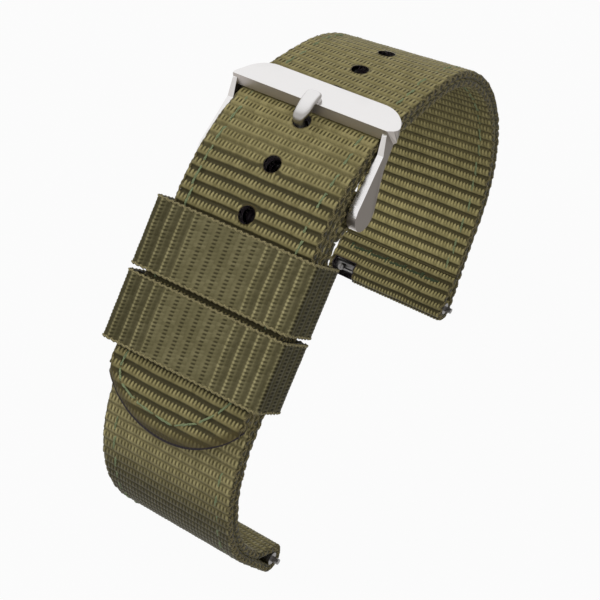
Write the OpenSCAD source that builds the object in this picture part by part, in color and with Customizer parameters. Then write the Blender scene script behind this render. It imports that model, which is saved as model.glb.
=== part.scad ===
/* [Webbing] */
// Width of the two straps, which is the lug width of the watch
strap_w = 20; // [16:0.5:26]
// Thickness of the long strap, two sewn plies
long_t = 2.3; // [1.8:0.1:3]
// Thickness of the short strap, two sewn plies
short_t = 2.3; // [1.8:0.1:3]
// Air between the two straps where one lies on the other
strap_gap = 0.1; // [0.05:0.05:0.4]
// Thickness of the single ply that folds round a bar
fold_ply = 1.15; // [0.8:0.05:1.4]
// Length over which the fold tapers back to the flat strap
fold_taper = 5; // [4:0.5:7]

/* [Loop] */
// Heading of the short strap at its lug end, before the loop is stood up
lug_angle = 121.7; // [110:0.1:128]
// Straight run of the short strap above its lug end
front_rise = 7.8; // [7:0.1:14]
// Bend radius of the short strap below the keepers
front_bend_r = 20.1; // [16:0.1:28]
// Angle of that bend
front_angle = 74.3; // [64:0.1:82]
// Bend radius of the shoulder, where the buckle sits
shoulder_r = 21.9; // [20:0.1:27]
// Angle of the shoulder
shoulder_angle = 50.8; // [46:0.1:56]
// Bend radius of the flatter top
top_r = 77; // [50:1:120]
// Angle of the flatter top
top_angle = 5.8; // [3:0.1:9]
// Bend radius of the back of the loop
back_bend_r = 20.9; // [17:0.1:26]
// Angle of the back bend
back_angle = 110.3; // [100:0.1:116]
// Straight run of the long strap down to its lug end
back_drop = 12.2; // [10:0.1:20]

/* [Tail and holes] */
// Number of punched holes
hole_count = 6; // [4:1:7]
// Distance between punched holes
hole_pitch = 6; // [5:0.1:7]
// Radius of a punched hole
hole_r = 1.1; // [1:0.05:1.3]
// Number of the hole that the tongue goes through, counted from the tail
tongue_hole_number = 3; // [2:1:4]
// Tail length from its tip to the first hole
tail_margin = 28.1; // [27:0.1:32]
// Width by which the tail tip's curve overshoots the strap's edge
tip_side_room = 0.2; // [0.1:0.05:0.4]
// Length of the rounded part of the tail tip
tip_round = 6; // [4:0.5:8]

/* [Keepers] */
// Length of each keeper along the strap
keeper_l = 9.2; // [6:0.1:11]
// Thickness of the keeper webbing
keeper_t = 1; // [0.8:0.1:1.4]
// Air between the keeper and the straps inside it
keeper_clear = 0.25; // [0.2:0.05:0.4]
// Gap between the two keepers
keeper_gap = 0.3; // [0.2:0.1:1.5]
// Outer corner radius of a keeper
keeper_corner_r = 1.1; // [0.9:0.1:1.2]
// Width of the lap where the keeper's ends are sewn together
keeper_lap_w = 9; // [7:0.5:12]
// Thickness of that lap
keeper_lap_t = 0.7; // [0.5:0.1:1]
// Straight strap left above the upper keeper
keeper_room_above = 0.8; // [0.5:0.1:2]
// Straight strap left below the lower keeper
keeper_room_below = 2.4; // [1.5:0.1:4]

/* [Buckle] */
// Distance along the strap from the keepers' flat to the buckle bar
bar_reach = 6.9; // [6.8:0.1:9]
// Distance along the strap from the bar to the tongue's hole
tongue_reach = 6; // [5.6:0.1:6.6]
// Thickness of a side arm
arm_t = 1.2; // [1:0.1:1.8]
// Air between the strap's edge and the arm
arm_clear = 0.25; // [0.2:0.05:0.5]
// Height of an arm at its narrowest, above the tongue's hole
arm_waist = 2.7; // [2.2:0.1:3]
// Distance of that waist's top below the strap's outer face
arm_waist_drop = 0.4; // [0.2:0.1:0.8]
// Length of the arm's foot under the plate
arm_foot_l = 2.4; // [1.6:0.1:3]
// Radius of the round end of an arm
arm_eye_r = 2.2; // [1.8:0.1:2.4]
// Height of an arm where it meets the plate
arm_depth = 2.2; // [1.6:0.1:2.6]
// Distance along the strap from the bar to the near edge of the plate
plate_reach = 7.2; // [7.2:0.1:8]
// Length of the plate along the strap, taken at the strap
plate_l = 3.4; // [3:0.1:5]
// Thickness of the plate
plate_t = 1.1; // [0.9:0.1:1.4]
// Air between the strap and the plate
plate_clear = 0.75; // [0.7:0.05:1]
// Corner radius of the plate seen from above
plate_corner_r = 4; // [2.5:0.5:5]

/* [Tongue] */
// Width of the tongue
tongue_w = 1.5; // [1.3:0.1:1.6]
// Thickness of the tongue
tongue_t = 0.9; // [0.8:0.05:0.95]
// Wall of the tongue's ring round the bar
tongue_ring_t = 0.78; // [0.6:0.02:0.9]
// Length of the tongue's tip that lies on the plate
tongue_tip_l = 2.4; // [1.8:0.1:2.8]
// Air between the tongue and the plate at rest
tongue_rest_gap = 0.04; // [0.02:0.01:0.1]
// Distance that the tongue stands beyond the middle of its hole
tongue_pull = 0.1; // [0.05:0.01:0.15]
// Air on each side of the tongue in the fold's slot
tongue_side_gap = 0.35; // [0.25:0.05:0.5]
// Distance from the plate's near edge back to the tongue's upper bend
tongue_bend_back = 0.2; // [0.1:0.05:0.4]

/* [Spring bars] */
// Radius of a bar tube
tube_r = 0.9; // [0.75:0.05:1]
// Wall of a bar tube
tube_wall = 0.2; // [0.15:0.01:0.22]
// Running clearance of a tube in its fold, a ring on a bar and a tip in its hole
run_clear = 0.07; // [0.05:0.01:0.1]
// Sliding clearance inside a tube
slide_clear = 0.03; // [0.02:0.01:0.05]
// Radius of a bar tip
tip_r = 0.4; // [0.35:0.01:0.45]
// Length that a lug tip stands out of its tube
lug_tip_l = 1; // [0.8:0.05:1.4]
// Length that a buckle bar tip stands out of its tube
buckle_tip_l = 0.9; // [0.8:0.05:1]
// Distance that a lug tube ends short of the strap's edge
tube_inset = 0.15; // [0.1:0.05:0.3]
// Distance that the buckle bar's tube ends short of the arm
tube_end_gap = 0.1; // [0.05:0.05:0.15]
// Thickness of the lip that keeps a tip in its tube
lip_t = 0.3; // [0.2:0.05:0.5]
// Radius that a tip gains where it passes the lip
tip_step = 0.17; // [0.16:0.01:0.18]
// Wall of a spring's wire sleeve
spring_wall = 0.18; // [0.12:0.01:0.22]
// Air between a spring and the wall of the tip's cup
spring_play = 0.17; // [0.14:0.01:0.2]
// Depth of the cup in a sprung tip
tip_cup = 1.8; // [1.6:0.1:2.2]
// Depth left behind a pin's end in the arm
pin_hole_room = 0.05; // [0.03:0.01:0.1]
// Length of the guided part of a tip inside its tube
shank_l = 3.2; // [3:0.1:4]
// Travel of a sprung tip
tip_travel = 1.2; // [0.8:0.1:1.4]

/* [Release lever] */
// Distance of the lever from the strap's edge
lever_inset = 2.2; // [2.1:0.1:3]
// Radius of the lever's stem
lever_stem_r = 0.35; // [0.25:0.05:0.4]
// Radius of the lever's knob
lever_knob_r = 0.55; // [0.45:0.05:0.6]
// Distance of the knob's middle from the bar's axis
lever_reach = 1.75; // [1.6:0.05:2.2]
// Room around the lever at the ends of its travel
lever_room = 0.35; // [0.3:0.05:0.6]
// Fabric left between the lever's notch and the strap's edge
notch_edge = 0.8; // [0.5:0.1:1]
// Depth of the notch towards the strap's flat
notch_back = 1.3; // [1.2:0.1:1.6]

/* [Stitching] */
// Distance of a stitched row from the strap's edge
seam_inset = 2.5; // [1.5:0.1:3.5]
// Distance of the tip's stitched row from the end of the tail
tip_seam_inset = 3; // [2.5:0.1:4]
// Length of a stitch
stitch_l = 1.8; // [1.2:0.1:2.4]
// Distance between stitches in a row
stitch_pitch = 3.6; // [3:0.1:4.5]
// Width of a thread
thread_w = 0.35; // [0.25:0.05:0.5]
// Height of a thread above the webbing
thread_h = 0.1; // [0.05:0.01:0.15]
// Distance of the cross row from the middle of a fold
cross_row = 3.3; // [3:0.1:4]

/* [Hidden] */
$fn = 96;

half_w = strap_w / 2;
// Offsets are measured from the outer face of the short strap, outwards positive
short_in = -short_t;
long_in = strap_gap;
long_out = long_in + long_t;
bore_r = tube_r + run_clear;
eye_r = bore_r + fold_ply;
tube_in_r = tube_r - tube_wall;
slide_r = tube_in_r - slide_clear;
spring_r = slide_r - spring_play;
tip_guide_r = tip_r + tip_step;
lever_x = half_w - lever_inset;
// Longer than anything that a cut passes through
through = 1.5 * strap_w;

// The path is the outer face of the short strap, then the inner face of the long one
function arc_l(r, a) = r * a * PI / 180;
keeper_flat = 2 * keeper_l + keeper_gap + keeper_room_above + keeper_room_below;
PATH = [[front_rise, 0], [arc_l(front_bend_r, front_angle), front_angle], [keeper_flat, 0],
        [arc_l(shoulder_r, shoulder_angle), shoulder_angle], [arc_l(top_r, top_angle), top_angle],
        [arc_l(back_bend_r, back_angle), back_angle], [back_drop, 0]];
function start_of(k) = k == 0 ? 0 : start_of(k - 1) + PATH[k - 1][0];
function radius_of(k) = PATH[k][0] / (PATH[k][1] * PI / 180);
function unit(a) = [cos(a), sin(a)];
function heading_of(k) = k == 0 ? lug_angle : heading_of(k - 1) - PATH[k - 1][1];
// Centre of bend k, on the wrist side of the path
function centre_of(k) = corner_of(k) - radius_of(k) * unit(heading_of(k) + 90);
function corner_of(k) = k == 0 ? [0, 0]
    : PATH[k - 1][1] == 0 ? corner_of(k - 1) + PATH[k - 1][0] * unit(heading_of(k - 1))
    : centre_of(k - 1) + radius_of(k - 1) * unit(heading_of(k) + 90);
function stretch_at(s, k = 0) = k == len(PATH) - 1 || s < start_of(k + 1) ? k : stretch_at(s, k + 1);
function heading_on(k, s) = PATH[k][1] == 0 ? heading_of(k)
    : heading_of(k) - PATH[k][1] * (s - start_of(k)) / PATH[k][0];
function heading_at(s) = heading_on(stretch_at(s), s);
function point_on(k, s, o) = PATH[k][1] == 0
    ? corner_of(k) + (s - start_of(k)) * unit(heading_of(k)) + o * unit(heading_of(k) + 90)
    : centre_of(k) + (radius_of(k) + o) * unit(heading_on(k, s) + 90);
function point_at(s, o) = point_on(stretch_at(s), s, o);

flat_start = start_of(2);
flat_end = start_of(3);
path_end = start_of(6) + back_drop;
bar_s = flat_end + bar_reach;
tongue_s = bar_s + tongue_reach;
first_hole_s = tongue_s - tongue_pull - (tongue_hole_number - 1) * hole_pitch;
tail_s = first_hole_s - tail_margin;
keeper_upper_s = flat_end - keeper_room_above - keeper_l / 2;
keeper_lower_s = keeper_upper_s - keeper_l - keeper_gap;

short_eye = point_at(0, -eye_r);
long_eye = point_at(path_end, long_out - eye_r);
buckle_eye = point_at(bar_s, -eye_r);
bar_heading = heading_at(bar_s);

// The loop stands on its two lug ends, with its middle over the origin
eye_line = long_eye - short_eye;
stand_tilt = atan2(eye_line[1], eye_line[0]);
function stood(p) = [p[0] * cos(stand_tilt) + p[1] * sin(stand_tilt),
                     p[1] * cos(stand_tilt) - p[0] * sin(stand_tilt)];
front_y = stood(centre_of(1))[0] - front_bend_r;
back_y = stood(centre_of(5))[0] + back_bend_r + long_out;
stand_y = -(front_y + back_y) / 2;
stand_z = eye_r - stood(short_eye)[1];
function placed(p) = stood(p) + [stand_y, stand_z];

// Everything is drawn in the side view, with the third axis along the strap's width
module stand() {
    translate([0, stand_y, stand_z])
        rotate([-stand_tilt, 0, 0])
            rotate([90, 0, 90])
                children();
}

// Frame on the path at distance s: first axis along it, second outwards
module at(s, o = 0) {
    p = point_at(s, o);
    translate([p[0], p[1], 0])
        rotate([0, 0, heading_at(s)])
            children();
}

// Distances along the path where its outline has a corner
bend_step_angle = 3;
mark_gap = 0.02 * front_rise;
function corners_in(k) = ceil(max(1, PATH[k][1] / bend_step_angle));
function marks(s0, s1) = concat([s0],
    [for (k = [0:len(PATH) - 1], j = [1:corners_in(k)])
        let (s = start_of(k) + PATH[k][0] * j / corners_in(k))
            if (s > s0 + mark_gap && s < s1 - mark_gap) s],
    [s1]);
function edge(s0, s1, o) = [for (s = marks(s0, s1)) point_at(s, o)];
function reversed(list) = [for (k = [len(list) - 1:-1:0]) list[k]];
function band_outline(s0, s1, o0, o1) = concat(edge(s0, s1, o1), reversed(edge(s0, s1, o0)));

// Outline round a fold, from its outer face to the point where it leaves the bar.
// The body is -1 where the strap lies before the bar and 1 where it lies after it
fold_step_angle = 12;
function fold_leave(s, outer, inner, body) =
    let (c = point_at(s, outer - eye_r), d = point_at(s + body * fold_taper, inner) - c)
        atan2(d[1], d[0]) - body * acos(eye_r / norm(d));
function fold_turn(s, outer, inner, body) =
    let (a = body * (fold_leave(s, outer, inner, body) - heading_at(s) - 90))
        a - 360 * floor(a / 360);
function fold_outline(s, outer, inner, body) =
    let (c = point_at(s, outer - eye_r), turn = fold_turn(s, outer, inner, body),
         n = ceil(turn / fold_step_angle))
        [for (j = [1:n]) c + eye_r * unit(heading_at(s) + 90 + body * turn * j / n)];

module webbing(outline) {
    translate([0, 0, -half_w])
        linear_extrude(strap_w)
            polygon(outline);
}

module fold_bore(s, outer) {
    c = point_at(s, outer - eye_r);
    translate([c[0], c[1], -through / 2])
        cylinder(h = through, r = bore_r);
}

// Window for the release lever, on the wrist side and round the end of a fold
module lever_notch(s, outer, body) {
    notch_l = notch_back + eye_r + lever_room;
    from = body < 0 ? -notch_back : notch_back - notch_l;
    lever_free = lever_x - tip_travel - lever_knob_r - lever_room;
    at(s, outer - eye_r)
        translate([from, -through, -half_w + notch_edge])
            cube([notch_l, through, half_w - notch_edge - lever_free]);
}

tail_corner = half_w + tip_side_room;
tail_r = (tail_corner * tail_corner + tip_round * tip_round) / (2 * tip_round);

// What the rounded tail tip leaves of a square end
module tail_cut() {
    room = long_t;
    at(tail_s, (long_in + long_out) / 2)
        rotate([90, 0, 0])
            difference() {
                translate([-room, -tail_corner - room, -long_t])
                    cube([tip_round + room, 2 * (tail_corner + room), 2 * long_t]);
                translate([tail_r, 0, -long_t - room])
                    cylinder(h = 2 * (long_t + room), r = tail_r);
            }
}

module punched_holes() {
    for (k = [0:hole_count - 1])
        at(first_hole_s + k * hole_pitch)
            rotate([-90, 0, 0])
                translate([0, 0, long_in - strap_gap])
                    cylinder(h = long_t + 3 * strap_gap, r = hole_r);
}

long_outline = concat(edge(tail_s, path_end, long_out),
                      fold_outline(path_end, long_out, long_in, -1),
                      reversed(edge(tail_s, path_end - fold_taper, long_in)));
short_outline = concat(fold_outline(bar_s, 0, short_in, -1),
                       reversed(edge(fold_taper, bar_s - fold_taper, short_in)),
                       reversed(fold_outline(0, 0, short_in, 1)),
                       edge(0, bar_s, 0));

module long_webbing() {
    color([0.45, 0.42, 0.26])
        stand()
            difference() {
                webbing(long_outline);
                tail_cut();
                punched_holes();
                fold_bore(path_end, long_out);
                lever_notch(path_end, long_out, -1);
            }
}

module short_webbing() {
    slot_w = tongue_w + 2 * tongue_side_gap;
    color([0.43, 0.4, 0.25])
        stand()
            difference() {
                webbing(short_outline);
                fold_bore(0, 0);
                fold_bore(bar_s, 0);
                lever_notch(0, 0, 1);
                at(bar_s, -eye_r)
                    translate([-eye_r - lever_room, -through / 2, -slot_w / 2])
                        cube([2 * (eye_r + lever_room), through, slot_w]);
            }
}

// One stitch on the strap's outer face, or on its wrist face
module stitch(s, x, o, outwards = true, along = stitch_l, across = thread_w) {
    hollow = along * along / (8 * front_bend_r);
    at(s, outwards ? o : o - thread_h - hollow)
        translate([-along / 2, 0, x - across / 2])
            cube([along, thread_h, across]);
}

module stitch_row(s0, s1, o, outwards) {
    count = floor((s1 - s0) / stitch_pitch);
    for (k = [0:count], side = [-1, 1])
        stitch(s0 + (k + 0.5) * (s1 - s0) / (count + 1), side * (half_w - seam_inset), o, outwards);
}

// Stitches across the strap, in a row that ends inside the edge rows
module cross_stitches(s, o, outwards = true, gap_in_middle = 0) {
    reach = half_w - seam_inset - stitch_l;
    count = floor(2 * reach / (stitch_l + 2 * thread_w));
    for (k = [0:count]) {
        x = -reach + 2 * reach * k / count;
        if (abs(x) >= gap_in_middle)
            stitch(s, x, o, outwards, thread_w, stitch_l);
    }
}

module long_edge_stitching() {
    row_start = tail_s + tip_round + stitch_l;
    row_end = path_end - cross_row - stitch_l;
    color([0.47, 0.62, 0.42])
        stand() {
            stitch_row(row_start, row_end, long_out, true);
            stitch_row(bar_s + plate_reach + plate_l, row_end, long_in, false);
        }
}

// Stitches that follow the rounded tail tip
module long_tip_stitching() {
    row_r = half_w - seam_inset;
    half_turn = 60;
    steps = 6;
    color([0.47, 0.62, 0.42])
        stand()
            for (k = [0:steps]) {
                a = half_turn * (2 * k / steps - 1);
                at(tail_s + tip_seam_inset + row_r * (1 - cos(a)), long_out)
                    translate([0, 0, row_r * sin(a)])
                        rotate([0, -a, 0])
                            translate([-thread_w / 2, 0, -stitch_l / 2])
                                cube([thread_w, thread_h, stitch_l]);
            }
}

module long_lug_stitching() {
    color([0.23, 0.33, 0.22])
        stand() {
            cross_stitches(path_end - cross_row, long_out);
            cross_stitches(path_end - cross_row - stitch_l, long_out);
        }
}

module short_edge_stitching() {
    row_start = cross_row + 2 * stitch_l;
    color([0.47, 0.62, 0.42])
        stand() {
            stitch_row(row_start, tail_s, 0, true);
            stitch_row(fold_taper + stitch_l, bar_s - fold_taper - stitch_l, short_in, false);
        }
}

module short_lug_stitching() {
    color([0.23, 0.33, 0.22])
        stand() {
            cross_stitches(cross_row, 0);
            cross_stitches(cross_row + stitch_l, 0);
        }
}

module short_buckle_stitching() {
    color([0.23, 0.33, 0.22])
        stand()
            cross_stitches(bar_s - fold_taper - thread_w, short_in, false);
}

module rounded_rect(w, h, r) {
    translate([-w / 2 + r, -h / 2])
        square([w - 2 * r, h]);
    translate([-w / 2, -h / 2 + r])
        square([w, h - 2 * r]);
    for (x = [-1, 1], y = [-1, 1])
        translate([x * (w / 2 - r), y * (h / 2 - r)])
            circle(r);
}

// Loop of webbing round both straps, with its ends lapped on the wrist side
module keeper(s) {
    low = short_in - keeper_clear;
    high = long_out + keeper_clear;
    bore_h = high - low;
    bore_w = strap_w + 2 * keeper_clear;
    at(s)
        rotate([90, 0, 90])
            linear_extrude(keeper_l, center = true)
                translate([(low + high) / 2, 0])
                    difference() {
                        union() {
                            rounded_rect(bore_h + 2 * keeper_t, bore_w + 2 * keeper_t, keeper_corner_r);
                            translate([-bore_h / 2 - keeper_t - keeper_lap_t, -keeper_lap_w / 2])
                                square([keeper_lap_t + keeper_t / 2, keeper_lap_w]);
                        }
                        square([bore_h, bore_w], center = true);
                    }
}

module keeper_stitches(s) {
    face = short_in - keeper_clear - keeper_t - keeper_lap_t;
    rows = 3;
    for (k = [0:rows - 1], side = [-1, 1])
        stitch(s + (k - (rows - 1) / 2) * (keeper_l - stitch_l) / rows,
               side * (keeper_lap_w / 2 - 2 * thread_w), face, false);
}

module keeper_upper() {
    color([0.38, 0.36, 0.23])
        stand()
            keeper(keeper_upper_s);
}

module keeper_lower() {
    color([0.38, 0.36, 0.23])
        stand()
            keeper(keeper_lower_s);
}

module keeper_upper_stitching() {
    color([0.23, 0.33, 0.22])
        stand()
            keeper_stitches(keeper_upper_s);
}

module keeper_lower_stitching() {
    color([0.23, 0.33, 0.22])
        stand()
            keeper_stitches(keeper_lower_s);
}

// The buckle is drawn from its bar: first axis along the strap there, second outwards
frame_in = half_w + arm_clear;
frame_out = frame_in + arm_t;
function from_bar(s, o) = let (d = point_at(s, o) - buckle_eye)
    [d[0] * cos(bar_heading) + d[1] * sin(bar_heading),
     d[1] * cos(bar_heading) - d[0] * sin(bar_heading)];
plate_near = from_bar(bar_s + plate_reach, long_out + plate_clear);
plate_far = from_bar(bar_s + plate_reach + plate_l, long_out + plate_clear);
plate_dir = (plate_far - plate_near) / norm(plate_far - plate_near);
plate_up = [-plate_dir[1], plate_dir[0]];

module plate_profile() {
    polygon([plate_near, plate_far, plate_far + plate_t * plate_up, plate_near + plate_t * plate_up]);
}

module arm_profile() {
    waist = from_bar(bar_s + tongue_reach, long_out - arm_waist_drop);
    toe = plate_far + (plate_t - arm_depth) * plate_up;
    foot = toe - arm_foot_l * plate_dir;
    circle(arm_eye_r);
    polygon([arm_eye_r * unit(93), waist, plate_near + plate_t / 2 * plate_up,
             plate_near + plate_t * plate_up, plate_far + plate_t * plate_up, toe, foot,
             waist - arm_waist * plate_up, arm_eye_r * unit(-38)]);
}

// Plan of the buckle with its rounded far corners
module plan_block() {
    far = plate_far[0] + plate_t * plate_up[0];
    near = -2 * arm_eye_r;
    rotate([90, 0, 0])
        linear_extrude(through, center = true) {
            translate([near, -frame_out])
                square([far - plate_corner_r - near, 2 * frame_out]);
            translate([near, -frame_out + plate_corner_r])
                square([far - near, 2 * (frame_out - plate_corner_r)]);
            for (side = [-1, 1])
                translate([far - plate_corner_r, side * (frame_out - plate_corner_r)])
                    circle(plate_corner_r);
        }
}

module at_bar() {
    translate([buckle_eye[0], buckle_eye[1], 0])
        rotate([0, 0, bar_heading])
            children();
}

pin_hole_depth = buckle_tip_l - tube_end_gap + pin_hole_room;

module buckle_frame() {
    color([0.82, 0.82, 0.83])
        stand()
            at_bar()
                difference() {
                    intersection() {
                        union() {
                            for (x = [-frame_out, frame_in])
                                translate([0, 0, x])
                                    linear_extrude(arm_t)
                                        arm_profile();
                            translate([0, 0, -frame_out])
                                linear_extrude(2 * frame_out)
                                    plate_profile();
                        }
                        plan_block();
                    }
                    translate([0, 0, -frame_in - pin_hole_depth])
                        cylinder(h = 2 * (frame_in + pin_hole_depth), r = tip_r + run_clear);
                }
}

// Straight length of round-edged bar between two points of the side view
module link(a, b, r) {
    d = b - a;
    translate(a)
        circle(r);
    translate(b)
        circle(r);
    translate(a)
        rotate(atan2(d[1], d[0]))
            translate([0, -r])
                square([norm(d), 2 * r]);
}

module buckle_tongue() {
    r = tongue_t / 2;
    low = from_bar(tongue_s, long_in - strap_gap - tongue_t);
    high = from_bar(tongue_s, long_out + plate_clear);
    bend = plate_near + (plate_t + r + tongue_rest_gap) * plate_up - tongue_bend_back * plate_dir;
    tip = bend + tongue_tip_l * plate_dir;
    color([0.86, 0.86, 0.87])
        stand()
            at_bar()
                translate([0, 0, -tongue_w / 2])
                    linear_extrude(tongue_w)
                        difference() {
                            union() {
                                circle(bore_r + tongue_ring_t);
                                link([0, 0], low, r);
                                link(low, high, r);
                                link(high, bend, r);
                                link(bend, tip, r);
                            }
                            circle(bore_r);
                        }
}

// Tube along the strap's width with a lip that holds a sprung tip
module bar_tube(tube_half, lips) {
    difference() {
        translate([0, 0, -tube_half])
            cylinder(h = 2 * tube_half, r = tube_r);
        translate([0, 0, -2 * tube_half])
            cylinder(h = 4 * tube_half, r = tip_guide_r + slide_clear);
        translate([0, 0, -tube_half + lip_t])
            cylinder(h = 2 * tube_half - lip_t - (lips == 2 ? lip_t : -tube_half), r = tube_in_r);
    }
}

// Sprung tip at the negative end, hollow behind so that it slides over the spring
module sprung_tip(tube_half, tip_l) {
    shoulder = -tube_half + lip_t;
    difference() {
        union() {
            translate([0, 0, -tube_half - tip_l])
                cylinder(h = tip_l + lip_t, r = tip_r);
            translate([0, 0, -tube_half])
                cylinder(h = 2 * lip_t, r = tip_guide_r);
            translate([0, 0, shoulder])
                cylinder(h = shank_l, r = slide_r);
        }
        translate([0, 0, shoulder + shank_l - tip_cup])
            cylinder(h = 2 * tip_cup, r = spring_r + slide_clear);
    }
}

// Spring that reaches from x0 to x1 inside a tube
module bar_spring(x0, x1) {
    difference() {
        translate([0, 0, x0])
            cylinder(h = x1 - x0, r = spring_r);
        translate([0, 0, 2 * x0])
            cylinder(h = 4 * max(x1, -x0), r = spring_r - spring_wall);
    }
}

buckle_tube_half = frame_in - tube_end_gap;
lug_tube_half = half_w - tube_inset;
function spring_end(tube_half) = -tube_half + lip_t + shank_l - tip_cup;

module buckle_bar_tube() {
    color([0.7, 0.7, 0.72])
        stand()
            at_bar()
                bar_tube(buckle_tube_half, 2);
}

module buckle_bar_spring() {
    color([0.55, 0.55, 0.57])
        stand()
            at_bar()
                bar_spring(spring_end(buckle_tube_half), -spring_end(buckle_tube_half));
}

module buckle_pin_left() {
    color([0.75, 0.75, 0.77])
        stand()
            at_bar()
                sprung_tip(buckle_tube_half, buckle_tip_l);
}

module buckle_pin_right() {
    color([0.75, 0.75, 0.77])
        stand()
            at_bar()
                mirror([0, 0, 1])
                    sprung_tip(buckle_tube_half, buckle_tip_l);
}

module at_lug(s, outer) {
    at(s, outer - eye_r)
        children();
}

module lug_tube(s, outer) {
    at_lug(s, outer)
        difference() {
            bar_tube(lug_tube_half, 1);
            translate([-lever_stem_r - slide_clear, -through, -lever_x - lever_stem_r - slide_clear])
                cube([2 * (lever_stem_r + slide_clear), through,
                      tip_travel + 2 * (lever_stem_r + slide_clear)]);
        }
}

module lug_spring(s, outer) {
    at_lug(s, outer)
        bar_spring(spring_end(lug_tube_half), lug_tube_half - shank_l);
}

module lug_fixed_tip(s, outer) {
    at_lug(s, outer) {
        translate([0, 0, lug_tube_half - shank_l])
            cylinder(h = shank_l, r = tube_in_r);
        translate([0, 0, lug_tube_half])
            cylinder(h = lug_tip_l, r = tip_r);
    }
}

// Lever that reaches through the tube's slot towards the wrist
module lug_lever(s, outer) {
    at_lug(s, outer)
        translate([0, 0, -lever_x])
            difference() {
                union() {
                    rotate([90, 0, 0])
                        cylinder(h = lever_reach, r = lever_stem_r);
                    translate([0, -lever_reach, 0])
                        sphere(lever_knob_r);
                }
                translate([0, 0, -2 * lever_knob_r])
                    cylinder(h = 4 * lever_knob_r, r = slide_r);
            }
}

module long_bar_tube() {
    color([0.7, 0.7, 0.72])
        stand()
            lug_tube(path_end, long_out);
}

module long_bar_spring() {
    color([0.55, 0.55, 0.57])
        stand()
            lug_spring(path_end, long_out);
}

module long_bar_fixed_tip() {
    color([0.75, 0.75, 0.77])
        stand()
            lug_fixed_tip(path_end, long_out);
}

module long_bar_moving_tip() {
    color([0.75, 0.75, 0.77])
        stand()
            at_lug(path_end, long_out)
                sprung_tip(lug_tube_half, lug_tip_l);
}

module long_bar_lever() {
    color([0.78, 0.78, 0.8])
        stand()
            lug_lever(path_end, long_out);
}

module short_bar_tube() {
    color([0.7, 0.7, 0.72])
        stand()
            lug_tube(0, 0);
}

module short_bar_spring() {
    color([0.55, 0.55, 0.57])
        stand()
            lug_spring(0, 0);
}

module short_bar_fixed_tip() {
    color([0.75, 0.75, 0.77])
        stand()
            lug_fixed_tip(0, 0);
}

module short_bar_moving_tip() {
    color([0.75, 0.75, 0.77])
        stand()
            at_lug(0, 0)
                sprung_tip(lug_tube_half, lug_tip_l);
}

module short_bar_lever() {
    color([0.78, 0.78, 0.8])
        stand()
            lug_lever(0, 0);
}

long_webbing();
long_edge_stitching();
long_tip_stitching();
long_lug_stitching();
short_webbing();
short_edge_stitching();
short_lug_stitching();
short_buckle_stitching();
keeper_upper();
keeper_lower();
keeper_upper_stitching();
keeper_lower_stitching();
buckle_frame();
buckle_tongue();
buckle_bar_tube();
buckle_bar_spring();
buckle_pin_left();
buckle_pin_right();
long_bar_tube();
long_bar_spring();
long_bar_fixed_tip();
long_bar_moving_tip();
long_bar_lever();
short_bar_tube();
short_bar_spring();
short_bar_fixed_tip();
short_bar_moving_tip();
short_bar_lever();
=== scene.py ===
import logging
import math
from dataclasses import dataclass, field
from enum import Enum

import bmesh
import bpy
import numpy as np
from mathutils import Matrix, Vector


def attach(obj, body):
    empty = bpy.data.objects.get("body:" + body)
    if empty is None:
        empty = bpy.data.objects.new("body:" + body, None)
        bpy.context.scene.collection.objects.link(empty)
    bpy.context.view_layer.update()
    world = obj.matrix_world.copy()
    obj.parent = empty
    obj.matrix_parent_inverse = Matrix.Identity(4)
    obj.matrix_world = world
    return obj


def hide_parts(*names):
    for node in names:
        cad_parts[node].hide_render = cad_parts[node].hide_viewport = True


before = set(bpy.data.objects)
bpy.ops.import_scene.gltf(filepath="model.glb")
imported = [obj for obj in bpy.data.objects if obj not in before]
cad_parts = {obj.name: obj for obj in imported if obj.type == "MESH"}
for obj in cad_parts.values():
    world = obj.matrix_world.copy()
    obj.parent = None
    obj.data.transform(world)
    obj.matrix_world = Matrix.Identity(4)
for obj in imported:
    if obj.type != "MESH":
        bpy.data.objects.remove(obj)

Array = np.ndarray
Line = tuple[Array, Array]
Triple = tuple[float, float, float]
Piece = bpy.types.Object
Socket = bpy.types.NodeSocket
MM = 0.001
HALF_W = 10.0
SEAM_X = 8.0
CROSS_X = 7.4
CROSS_L = 1.8
CROSS_GAP = 0.7
YARN_START = 5.9
YARN_TRIM = (0.3, 0.6)
STITCH_PITCH = 2.95
STITCH_GAP = 0.6
NOTCH_REACH = 2.47
NOTCH_FRONT = 1.3
NOTCH_X = (-9.2, -5.7)
TRAIL_STEP = 0.04
LOOK_AT = (0.0, 0.0, 0.025)
RIGHT = np.array([1.0, 0.0, 0.0])
LAYERS = ("scorch_and_shade", "selvedge", "calm", "painted_shade")
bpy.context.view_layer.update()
LOG = logging.getLogger("strap")


def show(thing: Piece) -> None:
    """Puts an object into the scene."""
    bpy.context.scene.collection.objects.link(thing)


def bake(piece: Piece) -> Piece:
    """Turns a piece's modifiers into its own mesh, with no material.

    Args:
        piece: The piece.

    Returns:
        The same piece.
    """
    bpy.context.view_layer.update()
    evaluated = piece.evaluated_get(bpy.context.evaluated_depsgraph_get())
    final = bpy.data.meshes.new_from_object(evaluated)
    piece.modifiers.clear()
    piece.data = final
    final.materials.clear()
    return piece


def smooth(x: Array) -> Array:
    """Smooth step from 0 to 1 over the same span of x."""
    x = np.clip(x, 0.0, 1.0)
    return x * x * (3 - 2 * x)


def steps(points: Array) -> Array:
    """Distance from each point of a line to the next."""
    return np.linalg.norm(np.diff(points, axis=0), axis=1)


def walked(points: Array) -> Array:
    """Distance along a line to each of its points."""
    return np.concatenate([[0.0], np.cumsum(steps(points))])


def nearest(values: Array, value: float) -> int:
    """Number of the entry that is nearest to a value."""
    return int(np.argmin(np.abs(values - value)))


def swollen(share: Array, power: float) -> Array:
    """Numbers of -1 to 1 raised to a power, with their signs kept."""
    return np.sign(share) * np.abs(share) ** power


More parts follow.
